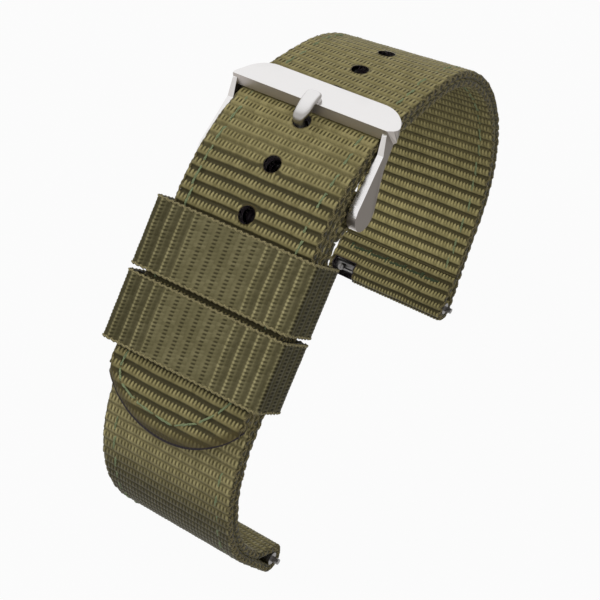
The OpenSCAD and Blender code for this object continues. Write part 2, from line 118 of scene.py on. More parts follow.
def wobble(x: Array, y: Array, seed: int, octaves: int = 3) -> Array:
    """Soft seeded noise of about -1 to 1.

    Args:
        x: First coordinate, in noise cells.
        y: Second coordinate, in noise cells.
        seed: Number that picks the pattern.
        octaves: Number of finer layers.

    Returns:
        The noise at each point.
    """
    rng = np.random.default_rng(seed)
    total = np.zeros(np.broadcast(x, y).shape)
    for k in range(octaves):
        for _ in range(4):
            a = rng.uniform(0, 2 * math.pi)
            p = rng.uniform(0, 2 * math.pi)
            f = 2.0**k * rng.uniform(0.7, 1.3) * 2 * math.pi
            total += np.sin(f * (x * math.cos(a) + y * math.sin(a)) + p) / (2.2 * 2**k)
    return total / 2


# Side view


@dataclass(frozen=True)
class LoopPath:
    """Side view of the worn loop, as straight runs and arcs, in millimetres.

    The path is the outer face of the short strap and the inner face of the long one.
    """

    ply_t: float = 1.15
    strap_gap: float = 0.1
    fold_taper: float = 5.0
    tube_r: float = 0.9
    run_clear: float = 0.07
    lug_angle: float = 121.7
    front_rise: float = 7.8
    front_bend_r: float = 20.1
    front_angle: float = 74.3
    shoulder_r: float = 21.9
    shoulder_angle: float = 50.8
    top_r: float = 77.0
    top_angle: float = 5.8
    back_bend_r: float = 20.9
    back_angle: float = 110.3
    back_drop: float = 12.2
    keeper_l: float = 9.2
    keeper_gap: float = 0.3
    room_above: float = 0.8
    room_below: float = 2.4
    bar_reach: float = 6.9
    tongue_reach: float = 6.0
    tongue_pull: float = 0.1
    hole_pitch: float = 6.0
    hole_count: int = 6
    tongue_hole: int = 3
    tail_margin: float = 28.1

    def stretches(self) -> list[tuple[float, float]]:
        """Length and turned angle of each stretch.

        Returns:
            One pair for each stretch, from the front lug on.
        """

        def arc(r: float, a: float) -> float:
            """Length of an arc of radius r through a degrees."""
            return r * math.radians(a)

        flat = 2 * self.keeper_l + self.keeper_gap + self.room_above + self.room_below
        return [
            (self.front_rise, 0.0),
            (arc(self.front_bend_r, self.front_angle), self.front_angle),
            (flat, 0.0),
            (arc(self.shoulder_r, self.shoulder_angle), self.shoulder_angle),
            (arc(self.top_r, self.top_angle), self.top_angle),
            (arc(self.back_bend_r, self.back_angle), self.back_angle),
            (self.back_drop, 0.0),
        ]

    def corners(self) -> list[tuple[float, float, Array, float, float]]:
        """Start, length, corner point, heading and turned angle of each stretch.

        Returns:
            One entry for each stretch, in order.
        """
        found = []
        start, here, heading = 0.0, np.zeros(2), self.lug_angle
        for length, turn in self.stretches():
            found.append((start, length, here, heading, turn))
            if turn:
                r = length / math.radians(turn)
                centre = here - r * unit(heading + 90)
                here = centre + r * unit(heading - turn + 90)
            else:
                here = here + length * unit(heading)
            start += length
            heading -= turn
        return found

    @property
    def eye_r(self) -> float:
        """Outer radius of a fold round a bar."""
        return self.tube_r + self.run_clear + self.ply_t

    @property
    def short_in(self) -> float:
        """Offset of the short strap's wrist face."""
        return -2 * self.ply_t

    @property
    def long_in(self) -> float:
        """Offset of the long strap's wrist face."""
        return self.strap_gap

    @property
    def long_out(self) -> float:
        """Offset of the long strap's outer face."""
        return self.strap_gap + 2 * self.ply_t

    @property
    def flat_end(self) -> float:
        """Path distance where the flat of the keepers ends."""
        return sum(length for length, _ in self.stretches()[:3])

    @property
    def end_s(self) -> float:
        """Path distance of the back lug's fold."""
        return sum(length for length, _ in self.stretches())

    @property
    def bar_s(self) -> float:
        """Path distance of the buckle's bar."""
        return self.flat_end + self.bar_reach

    @property
    def tongue_s(self) -> float:
        """Path distance of the tongue."""
        return self.bar_s + self.tongue_reach

    @property
    def first_hole_s(self) -> float:
        """Path distance of the hole nearest to the tail."""
        return self.tongue_s - self.tongue_pull - (self.tongue_hole - 1) * self.hole_pitch

    @property
    def tail_s(self) -> float:
        """Path distance of the tail's end."""
        return self.first_hole_s - self.tail_margin

    @property
    def upper_s(self) -> float:
        """Path distance of the upper keeper's middle."""
        return self.flat_end - self.room_above - self.keeper_l / 2

    @property
    def lower_s(self) -> float:
        """Path distance of the lower keeper's middle."""
        return self.upper_s - self.keeper_l - self.keeper_gap

    def raw(self, s: Array, o: Array | float) -> Line:
        """Points and outward normals in the side view, before the loop is stood up.

        Args:
            s: Path distances.
            o: Offset outwards.

        Returns:
            The points and the normals.
        """
        s = np.atleast_1d(np.asarray(s, float))
        o = np.broadcast_to(np.asarray(o, float), s.shape)
        points, normals = np.zeros((len(s), 2)), np.zeros((len(s), 2))
        for start, length, corner, heading, turn in self.corners():
            inside = s >= start if start else np.ones(len(s), bool)
            d = (s - start)[inside]
            if turn:
                r = length / math.radians(turn)
                centre = corner - r * unit(heading + 90)
                n = unit(heading + 90 - turn * d / length)
                points[inside] = centre + (r + o[inside])[:, None] * n
                normals[inside] = n
            else:
                n = unit(heading + 90)
                points[inside] = corner + d[:, None] * unit(heading) + o[inside][:, None] * n
                normals[inside] = n
        return points, normals

    def tilt(self) -> float:
        """Angle by which the loop is turned to stand on its two lug ends.

        Returns:
            The angle in degrees.
        """
        a = self.raw([0.0], -self.eye_r)[0][0]
        b = self.raw([self.end_s], self.long_out - self.eye_r)[0][0]
        return math.degrees(math.atan2(b[1] - a[1], b[0] - a[0]))

    def stand(self, points: Array) -> Array:
        """Points of the side view as they stand in the frame.

        Args:
            points: Side view points.

        Returns:
            Their y and z in the frame.
        """
        tilt = self.tilt()
        turned = turn2(points, -tilt)
        ends = []
        for k, sign, reach in ((1, -1, 0.0), (5, 1, self.long_out)):
            _, length, corner, heading, turn = self.corners()[k]
            r = length / math.radians(turn)
            centre = turn2((corner - r * unit(heading + 90))[None], -tilt)[0]
            ends.append(centre[0] + sign * (r + reach))
        eye = turn2(self.raw([0.0], -self.eye_r)[0], -tilt)[0]
        return turned + np.array([-(ends[0] + ends[1]) / 2, self.eye_r - eye[1]])

    def at(self, s: Array, o: Array | float) -> Line:
        """Standing points and outward normals at distance s and offset o."""
        points, normals = self.raw(s, o)
        return self.stand(points), turn2(normals, -self.tilt())


def unit(angle: float | Array) -> Array:
    """Unit vector at an angle in degrees."""
    a = np.radians(angle)
    return np.stack([np.cos(a), np.sin(a)], -1)


def turn2(points: Array, angle: float) -> Array:
    """Plane points turned about the origin by an angle in degrees."""
    c, s = math.cos(math.radians(angle)), math.sin(math.radians(angle))
    return points @ np.array([[c, s], [-s, c]])


@dataclass
class Trail:
    """Line on a surface that webbing is laid along.

    Fields are the 3D points, the outward normals and the direction across the webbing.
    """

    points: Array
    normals: Array
    across: Array
    closed: bool = False
    lean: Array | float = 0.0
    t: Array = field(init=False)

    def __post_init__(self) -> None:
        """Measures the distance along the line."""
        self.t = walked(self.points)

    @property
    def length(self) -> float:
        """Length of the line in millimetres."""
        return float(self.t[-1])

    def place(self, t: Array, x: Array, h: Array) -> Array:
        """Points at distance t, x across and h above the line, in millimetres.

        Args:
            t: Distances along the line.
            x: Places across.
            h: Heights.

        Returns:
            The points.
        """
        p = np.stack([np.interp(t, self.t, self.points[:, k]) for k in range(3)], -1)
        n = np.stack([np.interp(t, self.t, self.normals[:, k]) for k in range(3)], -1)
        n /= np.linalg.norm(n, axis=-1, keepdims=True)
        h = h + (x + HALF_W) * np.interp(t, self.t, self.lean + 0 * self.t)
        return p + x[..., None] * self.across + h[..., None] * n


class Side(Enum):
    """Which way a strap lies from the bar that it is folded round."""

    BEFORE = -1
    AFTER = 1


@dataclass
class Profile:
    """Makes the trails of the straps from the loop's side view."""

    path: LoopPath

    def run(self, s0: float, s1: float, o: float) -> Line:
        """Side view points and normals from s0 to s1 at offset o."""
        s = np.linspace(s0, s1, max(2, int(abs(s1 - s0) / TRAIL_STEP)))
        return self.path.raw(s, o)

    def fold(self, s: float, outer: float, inner: float, side: Side) -> Line:
        """Points and normals round a bar, from the outer face to where the fold leaves it.

        Args:
            s: Path distance of the bar.
            outer: Offset of the strap's outer face.
            inner: Offset of its wrist face.
            side: Which way the strap lies.

        Returns:
            Points and normals, ending at the wrist face.
        """
        body, r, path = side.value, self.path.eye_r, self.path
        centre, n = path.raw([s], outer - r)
        centre = centre[0]
        start = math.degrees(math.atan2(n[0][1], n[0][0]))
        far = path.raw([s + body * path.fold_taper], inner)[0][0]
        d = far - centre
        gap = float(np.linalg.norm(d))
        leave = math.degrees(math.atan2(d[1], d[0])) - body * math.degrees(math.acos(r / gap))
        turn = (body * (leave - start)) % 360
        angles = start + body * np.linspace(0, turn, int(r * math.radians(turn) / TRAIL_STEP))
        normals = unit(angles)
        points = centre + r * normals
        line = np.linspace(points[-1], far, int(path.fold_taper / TRAIL_STEP))[1:]
        ends = np.repeat(normals[-1:], len(line), 0)
        return np.concatenate([points, line]), np.concatenate([normals, ends])

    def span(self, s0: float, s1: float, o: float) -> float:
        """Length along the strap from s0 to s1 at offset o."""
        points, _ = self.run(s0, s1, o)
        return float(steps(points).sum())

    def round_bar(self, trail: Trail, s: float, outer: float, low: float, high: float,
                  under: bool) -> tuple[float, float]:
        """Distances on a trail between which it passes a bar.

        Args:
            trail: The trail that folds round the bar.
            s: Path distance of the bar.
            outer: Offset of the strap's outer face.
            low: Lowest place along the path, from the bar's axis.
            high: Highest place along the path, from the bar's axis.
            under: True for the wrist side alone.

        Returns:
            The first and last distance.
        """
        points, normals = self.path.at([s], outer - self.path.eye_r)
        normal = normals[0]
        along = np.array([normal[1], -normal[0]])
        rel = trail.points[:, 1:] - points[0]
        a, b = rel @ along, rel @ normal
        inside = (a > low) & (a < high) & (np.hypot(a, b) < 1.6 * self.path.eye_r)
        if under:
            inside &= b < 0
        hit = trail.t[inside]
        return float(hit[0]), float(hit[-1])

    def cut(self, s: float) -> tuple[Array, Array, Array]:
        """Plane across the path.

        Args:
            s: Path distance.

        Returns:
            A point of the path, the outward normal and the way along.
        """
        points, normals = self.path.at([s], 0.0)
        y, z = normals[0]
        return np.array([0.0, *points[0]]), np.array([0.0, y, z]), np.array([0.0, z, -y])

    def ring(self, s: float, half_x: float, low: float, high: float, r: float) -> Trail:
        """Closed trail round both straps, in the plane across the path at s.

        Args:
            s: Path distance.
            half_x: Half of its width.
            low: Offset of its wrist side.
            high: Offset of its outer side.
            r: Radius of its corners.

        Returns:
            The trail, from the middle of the wrist side.
        """
        base, n, along = self.cut(s)
        corners = [(half_x - r, low + r, -90), (half_x - r, high - r, 0), (r - half_x, high - r, 90),
                   (r - half_x, low + r, 180)]
        flat, norm = [np.array([[0.0, low]])], [np.array([[0.0, -1.0]])]
        for x, o, a in corners:
            way = unit(a + np.linspace(0, 90, 31))
            flat.append(np.array([x, o]) + r * way)
            norm.append(way)
        xy, nn = np.concatenate([*flat, flat[0]]), np.concatenate([*norm, norm[0]])
        t = walked(xy)
        fine = np.linspace(0, t[-1], int(t[-1] / TRAIL_STEP))
        xy = np.column_stack([np.interp(fine, t, xy[:, k]) for k in (0, 1)])
        nn = np.column_stack([np.interp(fine, t, nn[:, k]) for k in (0, 1)])
        return Trail(
            base + xy[:, :1] * RIGHT + xy[:, 1:] * n, nn[:, :1] * RIGHT + nn[:, 1:] * n, along, True
        )

    def lap(self, s: float, half_x: float, low: float) -> Trail:
        """Open trail across the wrist side of a keeper.

        Args:
            s: Path distance.
            half_x: Half of the lap's length.
            low: Offset of its wrist face.

        Returns:
            The trail.
        """
        base, n, along = self.cut(s)
        x = np.linspace(-half_x, half_x, int(2 * half_x / TRAIL_STEP))[:, None]
        return Trail(base + low * n + x * RIGHT, np.repeat(-n[None], len(x), 0), along)

    def trail(self, *parts: Line) -> Trail:
        """Joins side view parts into one standing trail across the strap's width.

        Args:
            parts: Points and normals of each part.

        Returns:
            The trail.
        """
        points = np.concatenate([p for p, _ in parts])
        normals = np.concatenate([n for _, n in parts])
        keep = np.concatenate([[True], steps(points) > 1e-6])
        points, normals = self.path.stand(points[keep]), turn2(normals[keep], -self.path.tilt())
        zeros = np.zeros(len(points))
        return Trail(np.column_stack([zeros, points]), np.column_stack([zeros, normals]), RIGHT)


def flip(part: Line) -> Line:
    """The same side view part, walked the other way."""
    return part[0][::-1], part[1][::-1]


def inward(part: Line) -> Line:
    """The same side view part, with its normals towards the wrist."""
    return part[0], -part[1]


# Node graphs


class Graph:
    """Small helper that writes shader node expressions."""

    def __init__(self, name: str, world: bool = False) -> None:
        """Makes an empty node material, or empty surroundings.

        Args:
            name: Its name.
            world: True for surroundings.
        """
        self.owner = (bpy.data.worlds if world else bpy.data.materials).new(name)
        self.owner.use_nodes = True
        self.tree = self.owner.node_tree
        self.tree.nodes.clear()
        self.out = self.tree.nodes.new("ShaderNodeOutput" + ("World" if world else "Material"))

    def node(self, kind: str, inputs: dict | None = None, **settings: object) -> bpy.types.Node:
        """Adds a node, with its settings and inputs.

        Args:
            kind: The node's type.
            inputs: Values for its inputs.
            settings: Its other settings.

        Returns:
            The node.
        """
        made = self.tree.nodes.new(kind)
        for key, value in settings.items():
            setattr(made, key, value)
        for key, value in (inputs or {}).items():
            self.put(made.inputs[key], value)
        return made

    def put(self, socket: Socket, value: object) -> None:
        """Links or sets one input.

        Args:
            socket: The input.
            value: A number, a colour, a socket or a Value.
        """
        if isinstance(value, Value):
            self.tree.links.new(value.socket, socket)
        elif isinstance(value, Socket):
            self.tree.links.new(value, socket)
        elif isinstance(value, tuple) and len(value) == 3 and socket.type == "RGBA":
            socket.default_value = (*value, 1.0)
        else:
            socket.default_value = value

    def math(self, operation: str, *values: object) -> "Value":
        """Adds a Math node and gives its value.

        Args:
            operation: What the node does.
            values: Its inputs.

        Returns:
            The result.
        """
        made = self.tree.nodes.new("ShaderNodeMath")
        made.operation = operation
        for k, value in enumerate(values):
            self.put(made.inputs[k], value)
        return Value(self, made.outputs[0])

    def uv(self, name: str) -> tuple["Value", "Value"]:
        """The two coordinates of a UV map.

        Args:
            name: The map's name.

        Returns:
            Both coordinates.
        """
        made = self.node("ShaderNodeUVMap", uv_map=name)
        parts = self.node("ShaderNodeSeparateXYZ", {"Vector": made.outputs["UV"]})
        return Value(self, parts.outputs["X"]), Value(self, parts.outputs["Y"])

    def attribute(self, name: str) -> "Value":
        """A number stored on the mesh."""
        made = self.node("ShaderNodeAttribute", attribute_name=name)
        return Value(self, made.outputs["Fac"])

    def place(self) -> Socket:
        """Object coordinates."""
        return self.node("ShaderNodeTexCoord").outputs["Object"]

    def vector(self, x: object, y: object, z: object = 0.0) -> Socket:
        """A vector of three values."""
        return self.node("ShaderNodeCombineXYZ", {"X": x, "Y": y, "Z": z}).outputs[0]

    def noise(self, where: object, scale: float, detail: float = 3.0, rough: float = 0.5) -> "Value":
        """Noise of 0 to 1 at a place.

        Args:
            where: The place.
            scale: Cells to a unit.
            detail: Number of finer layers.
            rough: Strength of the finer layers.

        Returns:
            The noise.
        """
        made = self.node(
            "ShaderNodeTexNoise",
            {"Vector": where, "Scale": scale, "Detail": detail, "Roughness": rough},
        )
        return Value(self, made.outputs["Fac"])

    def cell(self, where: object) -> "Value":
        """One random number for each whole cell."""
        made = self.node("ShaderNodeTexWhiteNoise", {"Vector": where}, noise_dimensions="3D")
        return Value(self, made.outputs["Value"])

    def mix(self, share: object, a: object, b: object) -> Socket:
        """A mix of two colours.

        Args:
            share: Share of the second.
            a: First colour.
            b: Second colour.

        Returns:
            The colour.
        """
        made = self.node("ShaderNodeMix", data_type="RGBA")
        self.put(made.inputs["Factor"], share)
        self.put(made.inputs["A"], a)
        self.put(made.inputs["B"], b)
        return made.outputs["Result"]

    def bump(self, height: object, distance: float, strength: float = 1.0) -> Socket:
        """A normal bent by a height.

        Args:
            height: The height.
            distance: Depth of a height of 1, in metres.
            strength: Share of the bend.

        Returns:
            The normal.
        """
        made = self.node(
            "ShaderNodeBump", {"Height": height, "Distance": distance, "Strength": strength}
        )
        return made.outputs["Normal"]

    def finish(self, shader: Socket) -> bpy.types.Material | bpy.types.World:
        """Connects the shader to the output."""
        self.tree.links.new(shader, self.out.inputs["Surface"])
        return self.owner

    def surface(self, inputs: dict) -> bpy.types.Material:
        """Finishes the material with one shader that has these inputs."""
        return self.finish(self.node("ShaderNodeBsdfPrincipled", inputs).outputs[0])


class Value:
    """A number in a node graph that can be used in plain sums."""

    def __init__(self, graph: Graph, socket: Socket) -> None:
        """Keeps the output that gives the number."""
        self.graph = graph
        self.socket = socket

    def __add__(self, other: object) -> "Value":
        """Sum."""
        return self.graph.math("ADD", self, other)

    def __sub__(self, other: object) -> "Value":
        """Difference."""
        return self.graph.math("SUBTRACT", self, other)

    def __rsub__(self, other: object) -> "Value":
        """Difference from a number."""
        return self.graph.math("SUBTRACT", other, self)

    def __mul__(self, other: object) -> "Value":
        """Product."""
        return self.graph.math("MULTIPLY", self, other)

    def __pow__(self, other: object) -> "Value":
        """Power."""
        return self.graph.math("POWER", self, other)

    __radd__ = __add__
    __rmul__ = __mul__

    def floor(self) -> "Value":
        """Whole part."""
        return self.graph.math("FLOOR", self)

    def fract(self) -> "Value":
        """Part after the point."""
        return self.graph.math("FRACT", self)

    def abs(self) -> "Value":
        """Size without sign."""
        return self.graph.math("ABSOLUTE", self)

    def ramp(self, low: float, high: float) -> "Value":
        """Smooth step from 0 at low to 1 at high.

        Args:
            low: Number that gives 0.
            high: Number that gives 1.

        Returns:
            The step.
        """
        made = self.graph.node(
            "ShaderNodeMapRange",
            {"Value": self, "From Min": low, "From Max": high},
            interpolation_type="SMOOTHSTEP",
        )
        return Value(self.graph, made.outputs["Result"])

    def wave(self) -> "Value":
        """0 at whole numbers and 1 half way between them."""
        return 0.5 - 0.5 * self.graph.math("COSINE", self * (2 * math.pi))


# Finishes


@dataclass(frozen=True)
class Webbing:
    """Ribbed nylon webbing: yarns that float over the ribs, with dark slits where they dive and dark
    valleys between the ribs, both painted shade.
    """

    name: str
    yarn: Triple
    yarn_light: Triple
    # gap and valley are painted shade colours, for the slits and for the valleys between the ribs.
    gap: Triple
    valley: Triple
    singed: Triple = (0.085, 0.066, 0.024)
    scorch_and_shade: Triple = (0.026, 0.020, 0.024)
    edge: Triple = (0.030, 0.026, 0.013)
    rough: float = 0.52
    # valley_share and calm_valley set how deep the painted valley shade goes on bold and calm ribs.
    valley_share: float = 0.8
    calm_valley: float = 0.5
    slit: tuple[float, float] = (0.34, 0.78)
    slit_base: float = 0.12
    painted_ridge_glint: float = 0.0
    comb: float = 0.75
    sheen: float = 0.07
    specular: float = 0.12
    dash: float = 0.15
    skew: float = 0.0
    turned: bool = False

    def make(self) -> bpy.types.Material:
        """Makes the material.

        Returns:
            A node material that reads the weave from the mesh.
        """
        g = Graph(self.name)
        u, v = g.uv("weave")
        row = v.floor()
        along = (row * 0.5).fract() + u + v.fract() * self.skew
        away = (v.fract() - 0.5).abs() * 2.0
        yarn = along.wave()
        cell = g.cell(g.vector(along.floor(), row))
        fibre = g.noise(g.vector(u * 9.0, v * 1.6), 1.0, 2.0, 0.6)
        patch = g.noise(g.vector(u * 0.05, v * 0.2), 1.0, 3.0, 0.5)
        lit = g.mix(cell * 0.55 + fibre * 0.6 - 0.12, self.yarn, self.yarn_light)
        slit = (1.0 - yarn).ramp(0.30, 0.78)
        offset = (1.0 - (along + 0.5).wave()).ramp(0.4, 0.86)
        calm = g.attribute("calm")
        place = 1.0 - v.fract() if self.turned else v.fract()
        tip = place - 0.18 * yarn
        # Painted shade: bold marks the dark band between ribs and narrow the thin valley on calm ribs;
        # they take the valley colour, and the slits below take the gap colour.
        band = place.ramp(0.13, 0.27) * (1.0 - tip.ramp(0.60, 0.72))
        teeth = slit * place.ramp(0.34, 0.56)
        bold = 1.0 - band * (1.0 - self.comb * teeth)
        low, high = self.slit
        zone = place.ramp(low - 0.06, low + 0.06) * (1.0 - place.ramp(high - 0.08, high + 0.08))
        dots = slit * (self.slit_base + (1.0 - self.slit_base) * zone)
        narrow = away.ramp(0.70, 0.98) * (0.35 + 0.65 * offset) * self.calm_valley
        cloth = g.mix((narrow * calm + bold * (1.0 - calm)) * self.valley_share, lit, self.valley)
        cloth = g.mix(dots * (self.dash + (0.85 - self.dash) * calm), cloth, self.gap)
        # Painted highlight: a glint band along each rib outside the calm stretches.
        glint = place.ramp(0.54, 0.60) * (1.0 - place.ramp(0.70, 0.78)) * (1.0 - calm) * self.painted_ridge_glint
        back = place.ramp(0.36, 0.5) * (1.0 - place.ramp(0.72, 0.9))
        glow = yarn * back * (0.4 * self.comb - 0.1 * calm) + glint
        # Painted light and shade: the calm stretches are painted lighter, and the painted shade share
        # darkens the colour by up to 0.7.
        value = (0.86 + glow + 0.26 * patch + 0.2 * calm) * (1.0 - 0.7 * g.attribute("painted_shade"))
        tone = g.node("ShaderNodeHueSaturation", {"Color": cloth, "Value": value})
        rough_edge = g.mix(fibre.ramp(0.45, 0.8) * 0.5, self.edge, self.yarn)
        colour = g.mix(g.attribute("selvedge").ramp(0.25, 0.75), tone.outputs[0], rough_edge)
        # The burnt share also carries painted shade: the walls inside the holes and painted shadows
        # under holes.
        burnt = g.attribute("scorch_and_shade")
        colour = g.mix(burnt.ramp(0.0, 0.6) * 0.75, colour, self.singed)
        colour = g.mix(burnt.ramp(0.62, 0.9), colour, self.scorch_and_shade)
        height = (1.0 - slit * 0.6) * (1.0 - 0.5 * away.ramp(0.7, 1.0)) + 0.22 * fibre
        return g.surface({
            "Base Color": colour,
            "Roughness": self.rough - 0.12 * yarn - 0.12 * burnt,
            "Normal": g.bump(height, 0.00005, 0.8),
            "Sheen Weight": self.sheen,
            "Sheen Roughness": 0.2,
            "Sheen Tint": (0.95, 0.9, 0.8),
            "Specular IOR Level": self.specular,
        })


@dataclass(frozen=True)
class Thread:
    """Twisted sewing thread."""

    name: str
    light: Triple
    dark: Triple

    def make(self) -> bpy.types.Material:
        """Makes the material, with the thread's twist.

        Returns:
            A node material that reads the twist from the mesh.
        """
        g = Graph(self.name)
        u, v = g.uv("weave")
        twist = (u * 2.0 + v * 1.6).wave()
        fluff = g.noise(g.vector(u * 6.0, v * 5.0), 1.0, 2.0, 0.6)
        colour = g.mix(twist * 0.75 + fluff * 0.4 - 0.1, self.dark, self.light)
        return g.surface({
            "Base Color": colour,
            "Roughness": 0.5 + 0.2 * fluff,
            "Normal": g.bump(twist + 0.3 * fluff, 0.00005),
            "Sheen Weight": 0.05,
            "Specular IOR Level": 0.2,
        })


@dataclass(frozen=True)
class Steel:
    """Bright steel with fine polishing marks and faint handling wear; faces turned from the top are
    rougher, and painted darker as painted reflection.
    """

    name: str
    colour: Triple = (0.80, 0.79, 0.79)
    dull: Triple = (0.55, 0.54, 0.53)
    # side and wall are painted reflection colours: sideways faces darker, front and back walls brownish
    # as if they reflected the strap.
    side: Triple = (0.30, 0.28, 0.27)
    wall: Triple = (0.46, 0.42, 0.39)
    rough: float = 0.15
    satin_and_painted_reflection: float = 0.0
    bright: tuple[float, float] = (0.34, 0.62)
    top: tuple[float, float] = (0.117, 0.993)
    grain: float = 5000.0

    def make(self) -> bpy.types.Material:
        """Makes the material.

        Returns:
            A node material with worn edges and fine marks.
        """
        g = Graph(self.name)
        where = g.place()
        stretched = g.node(
            "ShaderNodeMapping", {"Vector": where, "Scale": (0.05, 1.0, 1.0)}
        ).outputs[0]
        marks = g.noise(stretched, self.grain, 3.0, 0.6)
        cloud = g.noise(where, 160.0, 2.0, 0.5)
        scratch = g.noise(stretched, self.grain * 0.35, 2.0, 0.7).ramp(0.66, 0.78)
        colour = g.mix(cloud.ramp(0.5, 0.85) * 0.2 + scratch * 0.12, self.colour, self.dull)
        # Painted reflection: faces turned from the top take the side colour, or the wall colour where
        # they face along the strap.
        true = g.node("ShaderNodeNewGeometry").outputs["True Normal"]
        face = g.node("ShaderNodeSeparateXYZ", {"Vector": true})
        level = Value(g, face.outputs["Y"]) * self.top[0] + Value(g, face.outputs["Z"]) * self.top[1]
        side = (1.0 - level.abs().ramp(*self.bright)) * self.satin_and_painted_reflection
        flank = Value(g, face.outputs["X"]).abs().ramp(0.5, 0.9)
        colour = g.mix(side, colour, g.mix(flank, self.wall, self.side))
        return g.surface({
            "Base Color": colour,
            "Metallic": 1.0,
            "Roughness": self.rough + 0.05 * marks + 0.08 * cloud + 0.2 * side,
            "Normal": g.bump(marks + 0.3 * cloud, 0.0000012, 0.6),
        })


# Meshes


@dataclass
class Opening:
    """An opening through a ply, in rows and face columns."""

    row0: int
    row1: int
    col0: int
    col1: int
    centre_t: float = 0.0
    centre_x: float = 0.0
    radius: float = 0.0


class MeshDraft:
    """Gathers points, faces and numbers for one mesh."""

    def __init__(self) -> None:
        """Starts an empty draft."""
        self.points: list[Array] = []
        self.uv: list[Array] = []
        self.numbers: dict[str, list[Array]] = {key: [] for key in LAYERS}
        self.faces: list[tuple[int, ...]] = []
        self.count = 0

    def add(self, points: Array, uv: Array, scorch_and_shade: Array | float = 0.0,
            selvedge: Array | float = 0.0, calm: Array | float = 0.0,
            painted_shade: Array | float = 0.0) -> Array:
        """Adds a block of points and gives their numbers in the same shape.

        Args:
            points: The points, in millimetres.
            uv: Yarn and rib counts.
            scorch_and_shade: Burnt share, which also carries painted shade in hole walls and under a
                hole.
            selvedge: Share of loose edge yarn.
            calm: Share by which the ribs lie flatter.
            painted_shade: Share of painted shade, by which the cloth is darker.

        Returns:
            The numbers.
        """
        shape = points.shape[:-1]
        n = int(np.prod(shape))
        self.points.append(points.reshape(n, 3))
        self.uv.append(np.broadcast_to(uv, (*shape, 2)).reshape(n, 2))
        for key, value in zip(LAYERS, (scorch_and_shade, selvedge, calm, painted_shade)):
            self.numbers[key].append(np.broadcast_to(value, shape).reshape(n))
        index = np.arange(self.count, self.count + n).reshape(shape)
        self.count += n
        return index

    def grid(self, index: Array, keep: Array | None = None, turned: bool = False) -> None:
        """Adds the quads of a grid of points.

        Args:
            index: Point numbers in rows and columns.
            keep: Which quads to make.
            turned: True to face the other way.
        """
        quads = np.stack([index[:-1, :-1], index[:-1, 1:], index[1:, 1:], index[1:, :-1]], -1)
        if turned:
            quads = quads[..., ::-1]
        quads = quads.reshape(-1, 4) if keep is None else quads[keep]
        self.faces.extend(map(tuple, quads.tolist()))

    def tube(self, index: Array) -> None:
        """Closes rings of points into a tube with two flat ends.

        Args:
            index: Point numbers, one ring to a row.
        """
        self.grid(np.column_stack([index, index[:, 0]]))
        self.faces.append(tuple(map(int, index[0])))
        self.faces.append(tuple(map(int, index[-1][::-1])))

    def ladder(self, a: Array, b: Array, pa: Array, pb: Array, turned: bool = False) -> None:
        """Joins two lines of points that have different counts.

        Args:
            a: Point numbers of the first line.
            b: Point numbers of the second line.
            pa: Place of each point of the first line, rising.
            pb: Place of each point of the second line, rising.
            turned: True to face the other way.
        """
        i = j = 0
        while i < len(a) - 1 or j < len(b) - 1:
            if j == len(b) - 1 or (i < len(a) - 1 and pa[i + 1] <= pb[j + 1]):
                face = (a[i], a[i + 1], b[j])
                i += 1
            else:
                face = (a[i], b[j + 1], b[j])
                j += 1
            face = tuple(int(k) for k in face)
            self.faces.append(face[::-1] if turned else face)

    def build(self, name: str, weld: bool = False) -> Piece:
        """Makes the object.

        Args:
            name: The piece's name.
            weld: True to close a ring whose first and last rows meet.

        Returns:
            The new object, in metres.
        """
        mesh = bpy.data.meshes.new(name)
        points = np.concatenate(self.points) * MM
        mesh.from_pydata(points.tolist(), [], self.faces)
        loops = np.zeros(len(mesh.loops), np.int32)
        mesh.loops.foreach_get("vertex_index", loops)
        layer = mesh.uv_layers.new(name="weave")
        uv = np.concatenate(self.uv)
        layer.data.foreach_set("uv", uv[loops].astype(np.float32).ravel())
        for key, values in self.numbers.items():
            made = mesh.attributes.new(key, "FLOAT", "POINT")
            made.data.foreach_set("value", np.concatenate(values).astype(np.float32))
        mesh.polygons.foreach_set("use_smooth", np.ones(len(mesh.polygons), bool))
        mesh.validate()
        if weld:
            work = bmesh.new()
            work.from_mesh(mesh)
            bmesh.ops.remove_doubles(work, verts=work.verts, dist=2e-6)
            work.to_mesh(mesh)
            work.free()
        piece = bpy.data.objects.new(name, mesh)
        show(piece)
        return piece


@dataclass(frozen=True)
class Weave:
    """Sizes of the webbing's ribs and yarns, in millimetres."""

    rib_h: float = 0.36
    calm_h: float = 0.15
    yarn_pitch: float = 0.5
    yarn_h: float = 0.13
    slant: float = 0.04
    rib_rows: tuple[float, ...] = (0.0, 0.10, 0.24, 0.42, 0.58, 0.76, 0.90)
    yarn_columns: int = 4
    ragged: float = 0.05
    uneven: float = 0.02
    turned: bool = False

    def relief(self, u: Array, v: Array, calm: Array) -> Array:
        """Height of the face below the crests.

        Args:
            u: Yarn count across the webbing.
            v: Rib count along it.
            calm: Share by which the ribs lie flatter.

        Returns:
            The height in millimetres, 0 or less.
        """
        away = np.abs(2 * np.mod(v, 1) - 1)
        bold, flat = (1 - away**1.75) ** 0.85, (1 - away**2.3) ** 0.62
        rib = self.rib_h * (1 - calm) * (1 - bold) + self.calm_h * calm * (1 - flat)
        yarn = np.abs(np.sin(np.pi * (u + 0.5 * np.mod(np.floor(v + 1e-6), 2)))) ** 0.7
        place = 1 - np.mod(v, 1) if self.turned else np.mod(v, 1)
        teeth = smooth((place - 0.30) / 0.16) * (1 - smooth((place - 0.74) / 0.2))
        return -rib - self.yarn_h * (0.2 + teeth) * (1 - yarn)


@dataclass
class Sheet:
    """Points of a ply's face, in rows and columns.

    t, x and h are places along, across and above the trail, and u and v count yarns and ribs.
    The rows and columns keep the places that they had before they were drawn in.
    """

    t: Array
    x: Array
    h: Array
    u: Array
    v: Array
    scorch_and_shade: Array
    thick: Array
    t_row: Array
    x_col: Array


